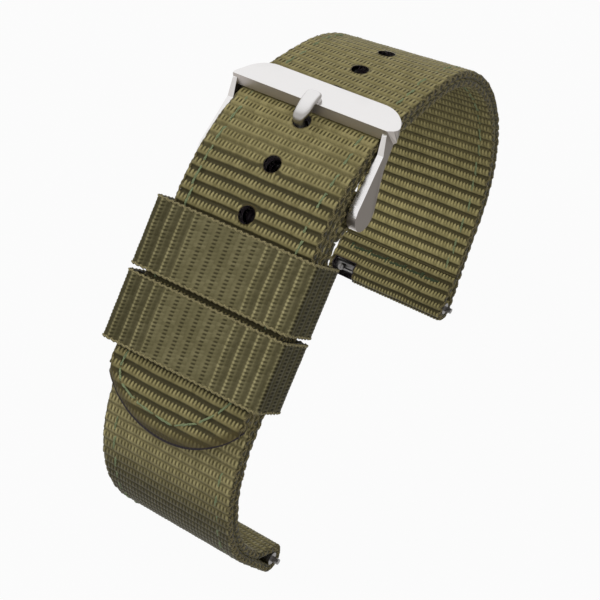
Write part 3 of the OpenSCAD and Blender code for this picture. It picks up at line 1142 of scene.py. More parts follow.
@dataclass
class Ply:
    """One ply of webbing, laid along a trail as a closed mesh."""

    name: str
    trail: Trail
    weave: Weave
    rib_edges: Array
    half_w: float = 10.0
    thick: float = 1.15
    edge_l: float = 0.45
    edge_columns: int = 4
    back_pitch: float = 1.2
    holes: list[tuple[float, float]] = field(default_factory=list)
    windows: list[tuple[float, float, float, float]] = field(default_factory=list)
    needles: list[tuple[float, float]] = field(default_factory=list)
    calm: list[Triple] = field(default_factory=list)
    # Stretches painted in shade, each a centre, half a length, a softness and a depth.
    painted_shade_spans: list[tuple[float, float, float, float]] = field(default_factory=list)
    # Painted shadows, each a distance along the trail and a radius.
    marks: list[tuple[float, float]] = field(default_factory=list)
    tail: "Tail | None" = None
    facing: int = 1
    seed: int = 1
    needle_r: float = 0.34
    needle_dent: float = 0.2
    rim_reach: float = 1.9
    rim_flat: float = 1.45
    rim_burnt: float = 1.12
    wall_step: float = 0.12

    def rows(self) -> Line:
        """Distance along the trail and rib count of each row.

        Returns:
            Both, one value to a row.
        """
        t, v = [], []
        for k in range(len(self.rib_edges) - 1):
            low, high = self.rib_edges[k], self.rib_edges[k + 1]
            for part in self.weave.rib_rows:
                t.append(low + (high - low) * part)
                v.append(k + part)
        t.append(self.rib_edges[-1])
        v.append(len(self.rib_edges) - 1)
        t, v = np.array(t), np.array(v)
        inside = (t > 0.03) & (t < self.trail.length - 0.03)
        ends = np.array([0.0, self.trail.length])
        end_v = np.interp(ends, t, v)
        t = np.concatenate([ends[:1], t[inside], ends[1:]])
        v = np.concatenate([end_v[:1], v[inside], end_v[1:]])
        return t, v

    def build(self) -> Piece:
        """Makes the ply's mesh.

        Returns:
            The new object.
        """
        w = self.weave
        draft = MeshDraft()
        t_row, v_row = self.rows()
        face_half = self.half_w - self.edge_l
        yarns = round(2 * face_half / w.yarn_pitch)
        columns = yarns * w.yarn_columns
        x_col = np.linspace(-face_half, face_half, columns + 1)
        u_col = np.linspace(0, yarns, columns + 1)
        t = np.repeat(t_row[:, None], columns + 1, 1)
        v = np.repeat(v_row[:, None], columns + 1, 1)
        if self.tail:
            t = self.tail.rows(t, x_col)
            v = np.interp(t, t_row, v_row)
        wave = wobble(x_col[None] / 9, v / 5, self.seed, 2)
        x = np.repeat(x_col[None], len(t_row), 0)
        lean = w.slant * (self.rib_len(t_row))[:, None] * (np.mod(v, 1) - 0.5)
        back_lean = smooth((np.abs(np.mod(v, 1) - 0.5) - 0.32) / 0.18)
        keep_edge = 1 - np.abs(x_col[None] / face_half) ** 12
        x = x + lean * (1 - back_lean) * keep_edge
        u = np.repeat(u_col[None], len(t_row), 0)
        shift = 0.07 * wave * smooth((t - t_row[0]) / 2) * smooth((t_row[-1] - t) / 2)
        t = t + shift
        fade = smooth((t - t_row[0]) / 2) * smooth((t_row[-1] - t) / 2)
        calm = self.calmness(t)
        h = w.relief(u, v, calm) + w.uneven * fade * wobble(x / 2.5, v / 1.3, self.seed + 7, 2)
        scorch_and_shade = np.zeros_like(h)
        for needle_t, needle_x in self.needles:
            near = smooth(1 - np.hypot(t - needle_t, x - needle_x) / self.needle_r)
            h = h - self.needle_dent * near
            scorch_and_shade = np.maximum(scorch_and_shade, 0.8 * near)
        # Painted shadow: the face is darkened round each mark.
        for mark_t, radius in self.marks:
            scorch_and_shade = np.maximum(scorch_and_shade, 0.95 * smooth((1.3 - np.hypot(t - mark_t, x) / radius) / 0.3))
        # Painted shade along the listed stretches.
        painted_shade = np.zeros_like(h)
        for centre, half, soft, share in self.painted_shade_spans:
            painted_shade = np.maximum(painted_shade, share * smooth((half - np.abs(t - centre)) / soft))
        gaps = self.openings(t_row, x_col)
        sheet = Sheet(t, x, h, u, v, scorch_and_shade, np.full_like(h, self.thick), t_row, x_col)
        for gap in gaps:
            if gap.radius:
                self.round_off(gap, sheet)
            else:
                sheet.scorch_and_shade = np.maximum(sheet.scorch_and_shade, smooth(1 - self.distance(gap, sheet) / 0.5))
        if self.tail:
            drop, burnt, sheet.thick = self.tail.finish(sheet.t, sheet.x, sheet.thick)
            sheet.h = sheet.h * (1 - smooth(burnt / 0.6)) - drop
            sheet.scorch_and_shade = np.maximum(sheet.scorch_and_shade, burnt)
        uv = np.stack([u, v], -1)
        face = self.trail.place(sheet.t, sheet.x, sheet.h)
        front = draft.add(face, uv, sheet.scorch_and_shade, 0.0, calm, painted_shade)
        back_cols = self.back_columns(columns, x_col, gaps)
        back = draft.add(
            self.trail.place(sheet.t[:, back_cols], sheet.x[:, back_cols], -sheet.thick[:, back_cols]),
            uv[:, back_cols], sheet.scorch_and_shade[:, back_cols],
        )
        keep_front = np.ones((len(t_row) - 1, columns), bool)
        keep_back = np.ones((len(t_row) - 1, len(back_cols) - 1), bool)
        turned = self.facing < 0
        for gap in gaps:
            keep_front[gap.row0:gap.row1, gap.col0:gap.col1] = False
            b0, b1 = np.searchsorted(back_cols, (gap.col0, gap.col1)).tolist()
            keep_back[gap.row0:gap.row1, b0:b1] = False
            self.wall(draft, gap, sheet, front, back, back_cols)
        draft.grid(front, keep_front, turned)
        draft.grid(back, keep_back, not turned)
        self.sides(draft, sheet, front, back)
        if not self.trail.closed:
            for row, way in ((0, turned), (-1, not turned)):
                draft.ladder(front[row], back[row], x_col, x_col[back_cols], not way)
        return draft.build(self.name, weld=self.trail.closed)

    def calmness(self, t: Array) -> Array:
        """Share by which the ribs lie flatter at each distance.

        Args:
            t: Distances along the trail.

        Returns:
            The share.
        """
        total = np.zeros_like(t)
        for centre, half, share in self.calm:
            total = np.maximum(total, share * smooth((1.25 - np.abs(t - centre) / half) / 0.5))
        return total

    def rib_len(self, t: Array) -> Array:
        """Length of the rib at each distance."""
        k = np.clip(np.searchsorted(self.rib_edges, t, "right") - 1, 0, len(self.rib_edges) - 2)
        return (self.rib_edges[1:] - self.rib_edges[:-1])[k]

    def back_columns(self, columns: int, x_col: Array, gaps: list[Opening]) -> Array:
        """Face columns that the back shares.

        Args:
            columns: Number of face columns.
            x_col: Place of each column.
            gaps: The ply's openings.

        Returns:
            The chosen columns' numbers.
        """
        step = max(1, round(self.back_pitch / (x_col[1] - x_col[0])))
        chosen = set(range(0, columns + 1, step)) | {columns}
        for gap in gaps:
            fine = 2 if gap.radius else max(1, (gap.col1 - gap.col0) // 4)
            chosen = {c for c in chosen if not gap.col0 < c < gap.col1}
            chosen |= set(range(gap.col0, gap.col1, fine)) | {gap.col1}
        return np.array(sorted(chosen))

    def openings(self, t_row: Array, x_col: Array) -> list[Opening]:
        """Finds the rows and columns of each hole and window.

        Args:
            t_row: Distance of each row.
            x_col: Place of each column.

        Returns:
            The openings.
        """
        found = []
        for centre, radius in self.holes:
            half = 0.9 * radius
            r0, r1 = nearest(t_row, centre - half), nearest(t_row, centre + half)
            c0, c1 = nearest(x_col, -half), nearest(x_col, half)
            found.append(Opening(r0, r1, c0, c1, centre, 0.0, radius))
        for t0, t1, x0, x1 in self.windows:
            r0, r1 = nearest(t_row, t0), nearest(t_row, t1)
            found.append(Opening(r0, r1, nearest(x_col, x0), nearest(x_col, x1)))
        return found

    @staticmethod
    def distance(gap: Opening, sheet: Sheet) -> Array:
        """Distance of each point from a window.

        Args:
            gap: The window.
            sheet: The face's points.

        Returns:
            The distances.
        """
        t_row, x_col = sheet.t_row, sheet.x_col
        dt = np.maximum(np.maximum(t_row[gap.row0] - sheet.t, sheet.t - t_row[gap.row1]), 0)
        dx = np.maximum(np.maximum(x_col[gap.col0] - sheet.x, sheet.x - x_col[gap.col1]), 0)
        return np.hypot(dt, dx)

    def round_off(self, gap: Opening, sheet: Sheet) -> None:
        """Draws the square block of an opening onto its circle.

        Args:
            gap: The opening.
            sheet: The face's points, which are changed.
        """
        t_row, x_col, reach = sheet.t_row, sheet.x_col, self.rim_reach
        up, down = t_row[gap.row1] - gap.centre_t, gap.centre_t - t_row[gap.row0]
        right, left = x_col[gap.col1] - gap.centre_x, gap.centre_x - x_col[gap.col0]
        b = t_row - gap.centre_t
        b = np.where(b > 0, b / up, b / down)[:, None]
        a = x_col - gap.centre_x
        a = np.where(a > 0, a / right, a / left)[None]
        m = np.maximum(np.abs(a), np.abs(b))
        safe = np.maximum(m, 1e-9)
        ua, ub = a / safe, b / safe
        cx = gap.centre_x + m * gap.radius * ua * np.sqrt(1 - ub**2 / 2)
        ct = gap.centre_t + m * gap.radius * ub * np.sqrt(1 - ua**2 / 2)
        share = np.where(m < reach, smooth((reach - m) / (reach - 1)), 0)
        sheet.t = sheet.t * (1 - share) + ct * share
        sheet.x = sheet.x * (1 - share) + cx * share
        rim = smooth((self.rim_flat - m) / 0.45)
        sheet.h = sheet.h * (1 - 0.75 * rim) - 0.03 * rim
        burnt = np.where(m <= self.rim_burnt, smooth((self.rim_burnt + 0.02 - m) / 0.1), 0)
        sheet.scorch_and_shade = np.maximum(sheet.scorch_and_shade, burnt * 0.85)

    def wall(self, draft: MeshDraft, gap: Opening, sheet: Sheet, front: Array, back: Array,
             back_cols: Array) -> None:
        """Joins the rim of an opening in the face to the rim in the back.

        Args:
            draft: The ply's mesh.
            gap: The opening.
            sheet: The face's points.
            front: Point numbers of the face.
            back: Point numbers of the back.
            back_cols: Face column of each back column.
        """

        def copies(places: list[tuple[int, int]], height: Array) -> dict[tuple[int, int], int]:
            """Adds copies of rim points at another height, burnt dark, which also paints shade inside
            the opening.

            Args:
                places: Row and column of each point.
                height: Height at every face point.

            Returns:
                The copies' numbers.
            """
            rr, cc = np.array(places).T
            made = draft.add(self.trail.place(sheet.t[rr, cc], sheet.x[rr, cc], height[rr, cc]),
                             np.stack([sheet.u[rr, cc], sheet.v[rr, cc]], -1), 1.0)
            return dict(zip(places, made.tolist()))

        b0, b1 = np.searchsorted(back_cols, (gap.col0, gap.col1)).tolist()
        rows, cols = np.arange(gap.row0, gap.row1 + 1), np.arange(gap.col0, gap.col1 + 1)
        bcols = back_cols[b0:b1 + 1]
        sides = []
        for row, way in ((gap.row0, False), (gap.row1, True)):
            rr, rb = np.full(len(cols), row), np.full(len(bcols), row)
            sides.append((front[rr, cols], back[row, b0:b1 + 1], rr, cols, rb, bcols,
                          sheet.x_col[cols], sheet.x_col[bcols], way))
        for c, bc, way in ((gap.col0, b0, True), (gap.col1, b1, False)):
            cc = np.full(len(rows), c)
            sides.append((front[rows, cc], back[rows, bc], rows, cc, rows, cc,
                          sheet.t_row[rows], sheet.t_row[rows], way))
        tops: dict[tuple[int, int], int] = {}
        feet: dict[tuple[int, int], int] = {}
        for _, _, rr, cc, rb, cb, *_ in sides:
            for known, r_list, c_list, height in ((tops, rr, cc, sheet.h - self.wall_step),
                                                  (feet, rb, cb, self.wall_step - sheet.thick)):
                new = [place for place in zip(r_list.tolist(), c_list.tolist()) if place not in known]
                if new:
                    known.update(copies(new, height))
        for f, b, rr, cc, rb, cb, pf, pb, way in sides:
            way = way != (self.facing < 0)
            upper = np.array([tops[place] for place in zip(rr.tolist(), cc.tolist())])
            lower = np.array([feet[place] for place in zip(rb.tolist(), cb.tolist())])
            draft.grid(np.stack([f, upper]), None, not way)
            draft.ladder(upper, lower, pf, pb, way)
            draft.grid(np.stack([lower, b]), None, not way)

    def sides(self, draft: MeshDraft, sheet: Sheet, front: Array, back: Array) -> None:
        """Rounds both selvedges, with a small loop of yarn at each rib.

        Args:
            draft: The ply's mesh.
            sheet: The face's points.
            front: Point numbers of the face.
            back: Point numbers of the back.
        """
        n, turned = self.edge_columns, self.facing < 0
        angles = np.linspace(0, 180, n + 2)[None, 1:-1]
        a = np.radians(angles)
        for sign, col in ((1, -1), (-1, 0)):
            parts = (sheet.t, sheet.v, sheet.u, sheet.h, sheet.thick, sheet.scorch_and_shade)
            t, v, u, h, thick, burnt = (part[:, col][:, None] for part in parts)
            loops = 0.5 - 0.5 * np.cos(4 * np.pi * v)
            rough = wobble(np.repeat(angles / 90, len(t), 0), v * 1.7, self.seed + 11 + sign, 2)
            bulge = self.edge_l * (0.70 + 0.16 * loops) + self.weave.ragged * rough
            inset = self.tail.edge_x(t, self.half_w) if self.tail else 0.0
            tt = np.repeat(t, n, 1)
            xx = sign * (self.half_w - self.edge_l - inset + bulge * np.sin(a) ** 0.6)
            hh = (h - thick) / 2 + (h + thick) / 2 * np.cos(a) * (0.96 + 0.04 * loops)
            uu = u + sign * np.linspace(0.3, 2.6, n)[None]
            edge = draft.add(self.trail.place(tt, xx, hh), np.stack([uu, np.repeat(v, n, 1)], -1), burnt,
                             np.sin(a) + 0 * tt)
            strip = np.column_stack([front[:, col], edge, back[:, col]])
            draft.grid(strip, None, turned if sign > 0 else not turned)
            if not self.trail.closed:
                for row, way in ((0, turned), (-1, not turned)):
                    ring = [int(front[row, col]), *map(int, edge[row]), int(back[row, col])]
                    face = ring if (sign > 0) == way else ring[::-1]
                    draft.faces.append(tuple(face))


@dataclass(frozen=True)
class Tail:
    """Rounded, melted end of the long strap's tail."""

    depth: float = 5.8
    reach: float = 10.2
    zone: float = 9.0
    rim: float = 0.30
    thin: float = 0.4

    def start(self, x: Array) -> Array:
        """Distance of the rounded end at a place across the strap."""
        r = (self.reach**2 + self.depth**2) / (2 * self.depth)
        return r - np.sqrt(np.maximum(r**2 - np.minimum(np.abs(x), self.reach) ** 2, 0))

    def rows(self, t: Array, x_col: Array) -> Array:
        """Moves the rows of the tail's zone in behind the rounded end.

        Args:
            t: Distance of each point.
            x_col: Place of each column.

        Returns:
            The new distances.
        """
        begin = self.start(x_col)[None]
        inside = t < self.zone
        return np.where(inside, begin + (self.zone - begin) * t / self.zone, t)

    def finish(self, t: Array, x: Array, thick: Array) -> tuple[Array, ...]:
        """Drop of the face, burnt share and thickness near the end.

        Args:
            t: Distances along the strap.
            x: Places across it.
            thick: The ply's thickness.

        Returns:
            The three, at each point.
        """
        d = t - self.start(x)
        drop = self.thin * (1 - smooth(d / 2.2)) ** 2
        melted = 0.6 * (1 - smooth((d - 0.3) / 2.6))
        burnt = np.maximum(melted, 1 - smooth((d - self.rim * 0.5) / (self.rim * 0.6)))
        return drop, np.clip(burnt, 0, 1), thick - drop

    def edge_x(self, t: Array, half_w: float) -> Array:
        """Distance that the selvedge draws in where the rounding starts."""
        return 0.25 * (1 - smooth((t - self.start(np.array([half_w]))[0]) / 1.5))


@dataclass(frozen=True)
class Lamp:
    """Square soft lamp that looks at the loop's middle, with its place and size in metres."""

    name: str
    where: Triple
    power: float
    size: float = 0.6

    def hang(self) -> None:
        """Adds the lamp to the scene."""
        data = bpy.data.lights.new(self.name, "AREA")
        data.shape, data.size, data.energy = "SQUARE", self.size, self.power
        lamp = bpy.data.objects.new(self.name, data)
        lamp.location = self.where
        lamp.rotation_mode = "QUATERNION"
        lamp.rotation_quaternion = (Vector(self.where) - Vector(LOOK_AT)).to_track_quat("Z", "Y")
        lamp.visible_glossy = False
        show(lamp)


LAMPS = (
    Lamp("over_back", (-0.05, 0.28, 0.55), 0.12),
    Lamp("left_back", (-0.42, 0.30, 0.38), 0.12),
    Lamp("left_high", (-0.40, -0.05, 0.48), 2.25),
    Lamp("right_high", (0.42, -0.20, 0.46), 2.4),
)


@dataclass(frozen=True)
class Scene:
    """Camera, lights and floor. The camera's angles are in degrees and its place in millimetres."""

    azimuth: float = 43.17
    elevation: float = 53.34
    roll: float = -12.0
    lens: float = 74.44
    eye: Triple = (67.45, -74.0, 155.19)
    soft_light: float = 0.04
    floor_half: float = 3.0
    floor_grey: float = 0.26
    floor_glow: float = 0.96

    def camera(self) -> None:
        """Places the camera at the photograph's viewing angle."""
        azimuth, elevation, roll = np.radians((self.azimuth, self.elevation, self.roll))
        right = Vector((math.cos(azimuth), math.sin(azimuth), 0))
        up = Vector((-math.sin(azimuth) * math.sin(elevation), math.cos(azimuth) * math.sin(elevation),
                     math.cos(elevation)))
        back = right.cross(up)
        turned = math.cos(roll) * right + math.sin(roll) * up
        raised = math.cos(roll) * up - math.sin(roll) * right
        data = bpy.data.cameras.new("photo_camera")
        data.lens, data.sensor_width = self.lens, 36.0
        data.clip_start, data.clip_end = 0.005, 10.0
        camera = bpy.data.objects.new("photo_camera", data)
        axes = Matrix((turned, raised, back)).transposed().to_4x4()
        camera.matrix_world = Matrix.Translation(Vector(self.eye) * MM) @ axes
        show(camera)
        bpy.context.scene.camera = camera

    def world(self) -> None:
        """Soft white surroundings."""
        g = Graph("studio", world=True)
        rays = g.node("ShaderNodeLightPath").outputs
        seen = g.node("ShaderNodeBackground", {"Color": (1.0, 1.0, 1.0), "Strength": 1.0})
        soft = g.node("ShaderNodeBackground", {"Color": (1.0, 1.0, 1.0), "Strength": self.soft_light})
        either = g.math("MAXIMUM", rays["Is Camera Ray"], rays["Is Transmission Ray"])
        share = g.math("MAXIMUM", either, rays["Is Glossy Ray"])
        mix = g.node("ShaderNodeMixShader", {0: share, 1: soft.outputs[0], 2: seen.outputs[0]})
        bpy.context.scene.world = g.finish(mix.outputs[0])

    def floor(self) -> None:
        """A wide pale floor that keeps the object's shadow."""
        mesh = bpy.data.meshes.new("floor")
        s = self.floor_half
        mesh.from_pydata([(-s, -s, 0), (s, -s, 0), (s, s, 0), (-s, s, 0)], [], [(0, 1, 2, 3)])
        g = Graph("floor_white")
        matt = g.node("ShaderNodeBsdfDiffuse", {"Color": (self.floor_grey,) * 3})
        glow = g.node("ShaderNodeEmission", {"Color": (1.0, 1.0, 1.0), "Strength": 1.0})
        rays = g.node("ShaderNodeLightPath")
        seen = g.math("MAXIMUM", rays.outputs["Is Camera Ray"], rays.outputs["Is Glossy Ray"])
        share = g.math("MULTIPLY", seen, self.floor_glow)
        mix = g.node("ShaderNodeMixShader", {0: share, 1: matt.outputs[0], 2: glow.outputs[0]})
        mesh.materials.append(g.finish(mix.outputs[0]))
        floor = bpy.data.objects.new("floor", mesh)
        show(floor)

    def build(self) -> None:
        """Makes the whole stage."""
        bpy.context.scene.view_settings.view_transform = "Standard"
        self.camera()
        self.world()
        self.floor()
        for lamp in LAMPS:
            lamp.hang()


OLIVE = Webbing(
    "olive_webbing", yarn=(0.205, 0.176, 0.074), yarn_light=(0.375, 0.325, 0.150),
    gap=(0.030, 0.025, 0.010), valley=(0.042, 0.036, 0.017), valley_share=0.92,
)
# Painted light: a lighter copy of the olive for the long strap's inner ply, standing in for light inside
# the loop.
INNER_OLIVE = Webbing(
    "painted_light_inner_olive_webbing", yarn=(0.29, 0.25, 0.105), yarn_light=(0.52, 0.45, 0.205),
    gap=(0.040, 0.034, 0.014), valley=(0.052, 0.044, 0.021), valley_share=0.9,
    comb=0.4, turned=True,
)
# Painted light: a lighter copy of the olive for the short strap's outer ply, standing in for light on
# it.
SHORT_OLIVE = Webbing(
    "painted_light_olive_webbing", yarn=(0.26, 0.225, 0.104), yarn_light=(0.47, 0.41, 0.20),
    gap=(0.034, 0.029, 0.012), valley=(0.046, 0.040, 0.019), valley_share=0.9,
)
# The keepers' glint along the ribs is a painted highlight, and their dark valleys are painted shade.
KEEPER = Webbing(
    "keeper_webbing", yarn=(0.126, 0.112, 0.054), yarn_light=(0.216, 0.193, 0.101),
    gap=(0.030, 0.026, 0.013), valley=(0.046, 0.040, 0.020), valley_share=0.68, calm_valley=0.3,
    slit=(0.32, 0.66), slit_base=0.05, painted_ridge_glint=2.2, skew=0.45, sheen=0.015, specular=0.03, dash=0.6,
)
LIGHT_THREAD = Thread("light_green_thread", light=(0.46, 0.56, 0.31), dark=(0.12, 0.15, 0.07))
EDGE_YARN = Thread("selvedge_yarn", light=(0.36, 0.30, 0.14), dark=(0.05, 0.042, 0.018))
KEEPER_CORD = Thread("keeper_edge_yarn", light=(0.52, 0.445, 0.225), dark=(0.11, 0.095, 0.045))
DARK_THREAD = Thread("dark_green_thread", light=(0.085, 0.115, 0.055), dark=(0.022, 0.032, 0.016))
# The buckle's and tongue's side and wall colours are painted reflection.
BUCKLE_STEEL = Steel(
    "buckle_steel_finish", colour=(0.83, 0.815, 0.81), side=(0.155, 0.134, 0.114), satin_and_painted_reflection=1.0,
    bright=(0.36, 0.56),
)
TONGUE_STEEL = Steel(
    "tongue_steel_finish", colour=(0.80, 0.785, 0.78), side=(0.30, 0.28, 0.26),
    wall=(0.36, 0.34, 0.32), satin_and_painted_reflection=0.9, bright=(0.62, 0.95),
)
BAR_STEEL = Steel("bar_steel_finish", colour=(0.24, 0.23, 0.225), dull=(0.13, 0.125, 0.12), rough=0.3)


def pitched_ribs(length: float, pitch: float, crest: float) -> Array:
    """Valleys at an even pitch that cover a length.

    Args:
        length: Length to cover.
        pitch: Distance between valleys.
        crest: Distance of one crest.

    Returns:
        The valleys' distances, from before the start to after the end.
    """
    first = crest - pitch / 2
    start = first - pitch * math.ceil(first / pitch + 1)
    return np.arange(start, length + 2 * pitch, pitch)


def seat(piece: Piece, finish: str, body: str, slot: str, *nodes: str) -> Piece:
    """Dresses a piece and fixes it to its body.

    Args:
        piece: The piece.
        finish: Name of its finish.
        body: The body that it moves with.
        slot: Name of a material slot; not used.
        nodes: Plain solids that it stands for.

    Returns:
        The piece.
    """
    piece.data.materials.append(MATERIALS[finish])
    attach(piece, body)
    if nodes:
        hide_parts(*nodes)
    return piece


@dataclass
class Cords:
    """Round threads drawn as thin tubes."""

    name: str
    sides: int = 6
    draft: MeshDraft = field(default_factory=MeshDraft)

    def add(self, trail: Trail, t: Array, x: Array, h: Array, radius: Array) -> None:
        """Adds one thread.

        Args:
            trail: The trail that it lies on.
            t: Distances along the trail.
            x: Places across it.
            h: Heights above it.
            radius: Radius at each point.
        """
        points = trail.place(t, x, h)
        normals = trail.place(t, x, h + 1.0) - points
        way = np.gradient(points, axis=0)
        way /= np.linalg.norm(way, axis=1, keepdims=True)
        beside = np.cross(way, normals)
        beside /= np.linalg.norm(beside, axis=1, keepdims=True)
        above = np.cross(beside, way)
        length = walked(points)
        a = np.linspace(0, 2 * np.pi, self.sides, endpoint=False)
        ring = points[:, None] + radius[:, None, None] * (
            np.cos(a)[None, :, None] * beside[:, None] + np.sin(a)[None, :, None] * above[:, None]
        )
        uv = np.stack(np.meshgrid(length / 0.35, a / (2 * np.pi), indexing="ij"), -1)
        index = self.draft.add(ring, uv)
        self.draft.tube(index)

    def build(self) -> Piece:
        """Makes the object."""
        return self.draft.build(self.name)


@dataclass
class Seam:
    """Stitches sewn into webbing along a trail."""

    thread_r: float = 0.15
    rise: float = 0.12
    dive: float = 0.5

    def stitch(self, cords: Cords, trail: Trail, a: tuple[float, float], b: tuple[float, float],
               sink: float = 0.0) -> None:
        """Adds one stitch between two needle holes.

        Args:
            cords: The threads that it joins.
            trail: The webbing's trail.
            a: Distance and place across of the first needle hole.
            b: The same of the second.
            sink: How much deeper the thread lies in the webbing.
        """
        k = np.linspace(-1, 1, 13)
        share = (k + 1) / 2
        t = a[0] + (b[0] - a[0]) * share
        x = a[1] + (b[1] - a[1]) * share
        h = self.rise - sink - self.thread_r - self.dive * np.abs(k) ** 7
        run = np.hypot(b[0] - a[0], b[1] - a[1])
        side_t, side_x = -(b[1] - a[1]) / run, (b[0] - a[0]) / run
        for strand in (0, math.pi):
            turn = 3.6 * k + strand + 5 * a[0]
            away = 0.42 * self.thread_r * np.cos(turn) + 0.03 * np.sin(9 * k + 3 * a[0] + strand)
            up = h + 0.42 * self.thread_r * np.sin(turn)
            cords.add(trail, t + away * side_t, x + away * side_x, up,
                      self.thread_r * (0.58 + 0.07 * np.cos(k * 11 + a[1])))

    def row(self, cords: Cords, trail: Trail, t0: float, t1: float, x: float, pitch: float,
            gap: float, seed: int) -> None:
        """Adds a row of stitches along the strap.

        Args:
            cords: The threads that it joins.
            trail: The webbing's trail.
            t0: First distance.
            t1: Last distance.
            x: Place across.
            pitch: Length of a stitch and its gap.
            gap: The gap.
            seed: Number that picks the unevenness.
        """
        rng = np.random.default_rng(seed)
        count = int((t1 - t0) / pitch)
        for k in range(count):
            start = t0 + k * (t1 - t0) / count + rng.uniform(-0.2, 0.2)
            end = start + (t1 - t0) / count - gap + rng.uniform(-0.3, 0.3)
            lean = rng.uniform(-0.12, 0.12)
            side = x + 0.12 * math.sin(k * 1.3 + seed)
            sink = 0.2 * rng.uniform(0, 1) ** 2
            self.stitch(cords, trail, (start, side - 0.10 + lean), (end, side + 0.10 + lean), sink)

    def cross(self, cords: Cords, trail: Trail, t: float, x0: float, x1: float, length: float,
              gap: float, lean: float = 0.05, bar: float = 0.0) -> None:
        """Adds a row of stitches across the strap.

        Args:
            cords: The threads that it joins.
            trail: The webbing's trail.
            t: Distance along the trail.
            x0: First place across.
            x1: Last place across.
            length: Length of a stitch.
            gap: Gap between stitches.
            lean: Half of a stitch's slant.
            bar: Half of the short stitch between two long ones, or 0.
        """
        count = int((x1 - x0 + gap) / (length + gap))
        pitch = (x1 - x0 + gap) / count
        for k in range(count):
            x = x0 + k * pitch
            self.stitch(cords, trail, (t - lean, x), (t + lean, x + pitch - gap))
            if bar:
                self.stitch(cords, trail, (t - bar, x - gap), (t + bar, x - gap + 0.1), 0.08)


@dataclass
class Selvedge:
    """Looped yarns along both edges of a ply."""

    pitch: float = 2.9
    yarn_r: float = 0.135
    swing: float = 0.30
    depth: float = 0.11
    set_in: float = 0.20

    def sew(self, cords: Cords, trail: Trail, t0: float, t1: float, half_w: float, thick: float,
            seed: int) -> None:
        """Adds the yarns of both edges.

        Args:
            cords: The yarns that it joins.
            trail: The ply's trail.
            t0: First distance along it.
            t1: Last distance along it.
            half_w: Half of the ply's width.
            thick: The ply's thickness.
            seed: Number that picks the unevenness.
        """
        t = np.linspace(t0, t1, int((t1 - t0) / 0.17))
        for side in (-1, 1):
            for strand in (0, 1):
                phase = 2 * np.pi * t / self.pitch + np.pi * strand + 0.9 * side + seed
                jitter = wobble(t / 1.9, t * 0 + strand + side, seed + 3 * side + strand, 2)
                swing = self.swing * (1 + 0.25 * jitter)
                x = side * (half_w - self.set_in + self.depth * np.cos(2 * phase) + 0.05 * jitter)
                h = -thick / 2 + swing * np.sin(phase) * (1.15 if strand else 1.0)
                cords.add(trail, t, x, h, self.yarn_r * (1 + 0.18 * np.cos(3.1 * phase)))


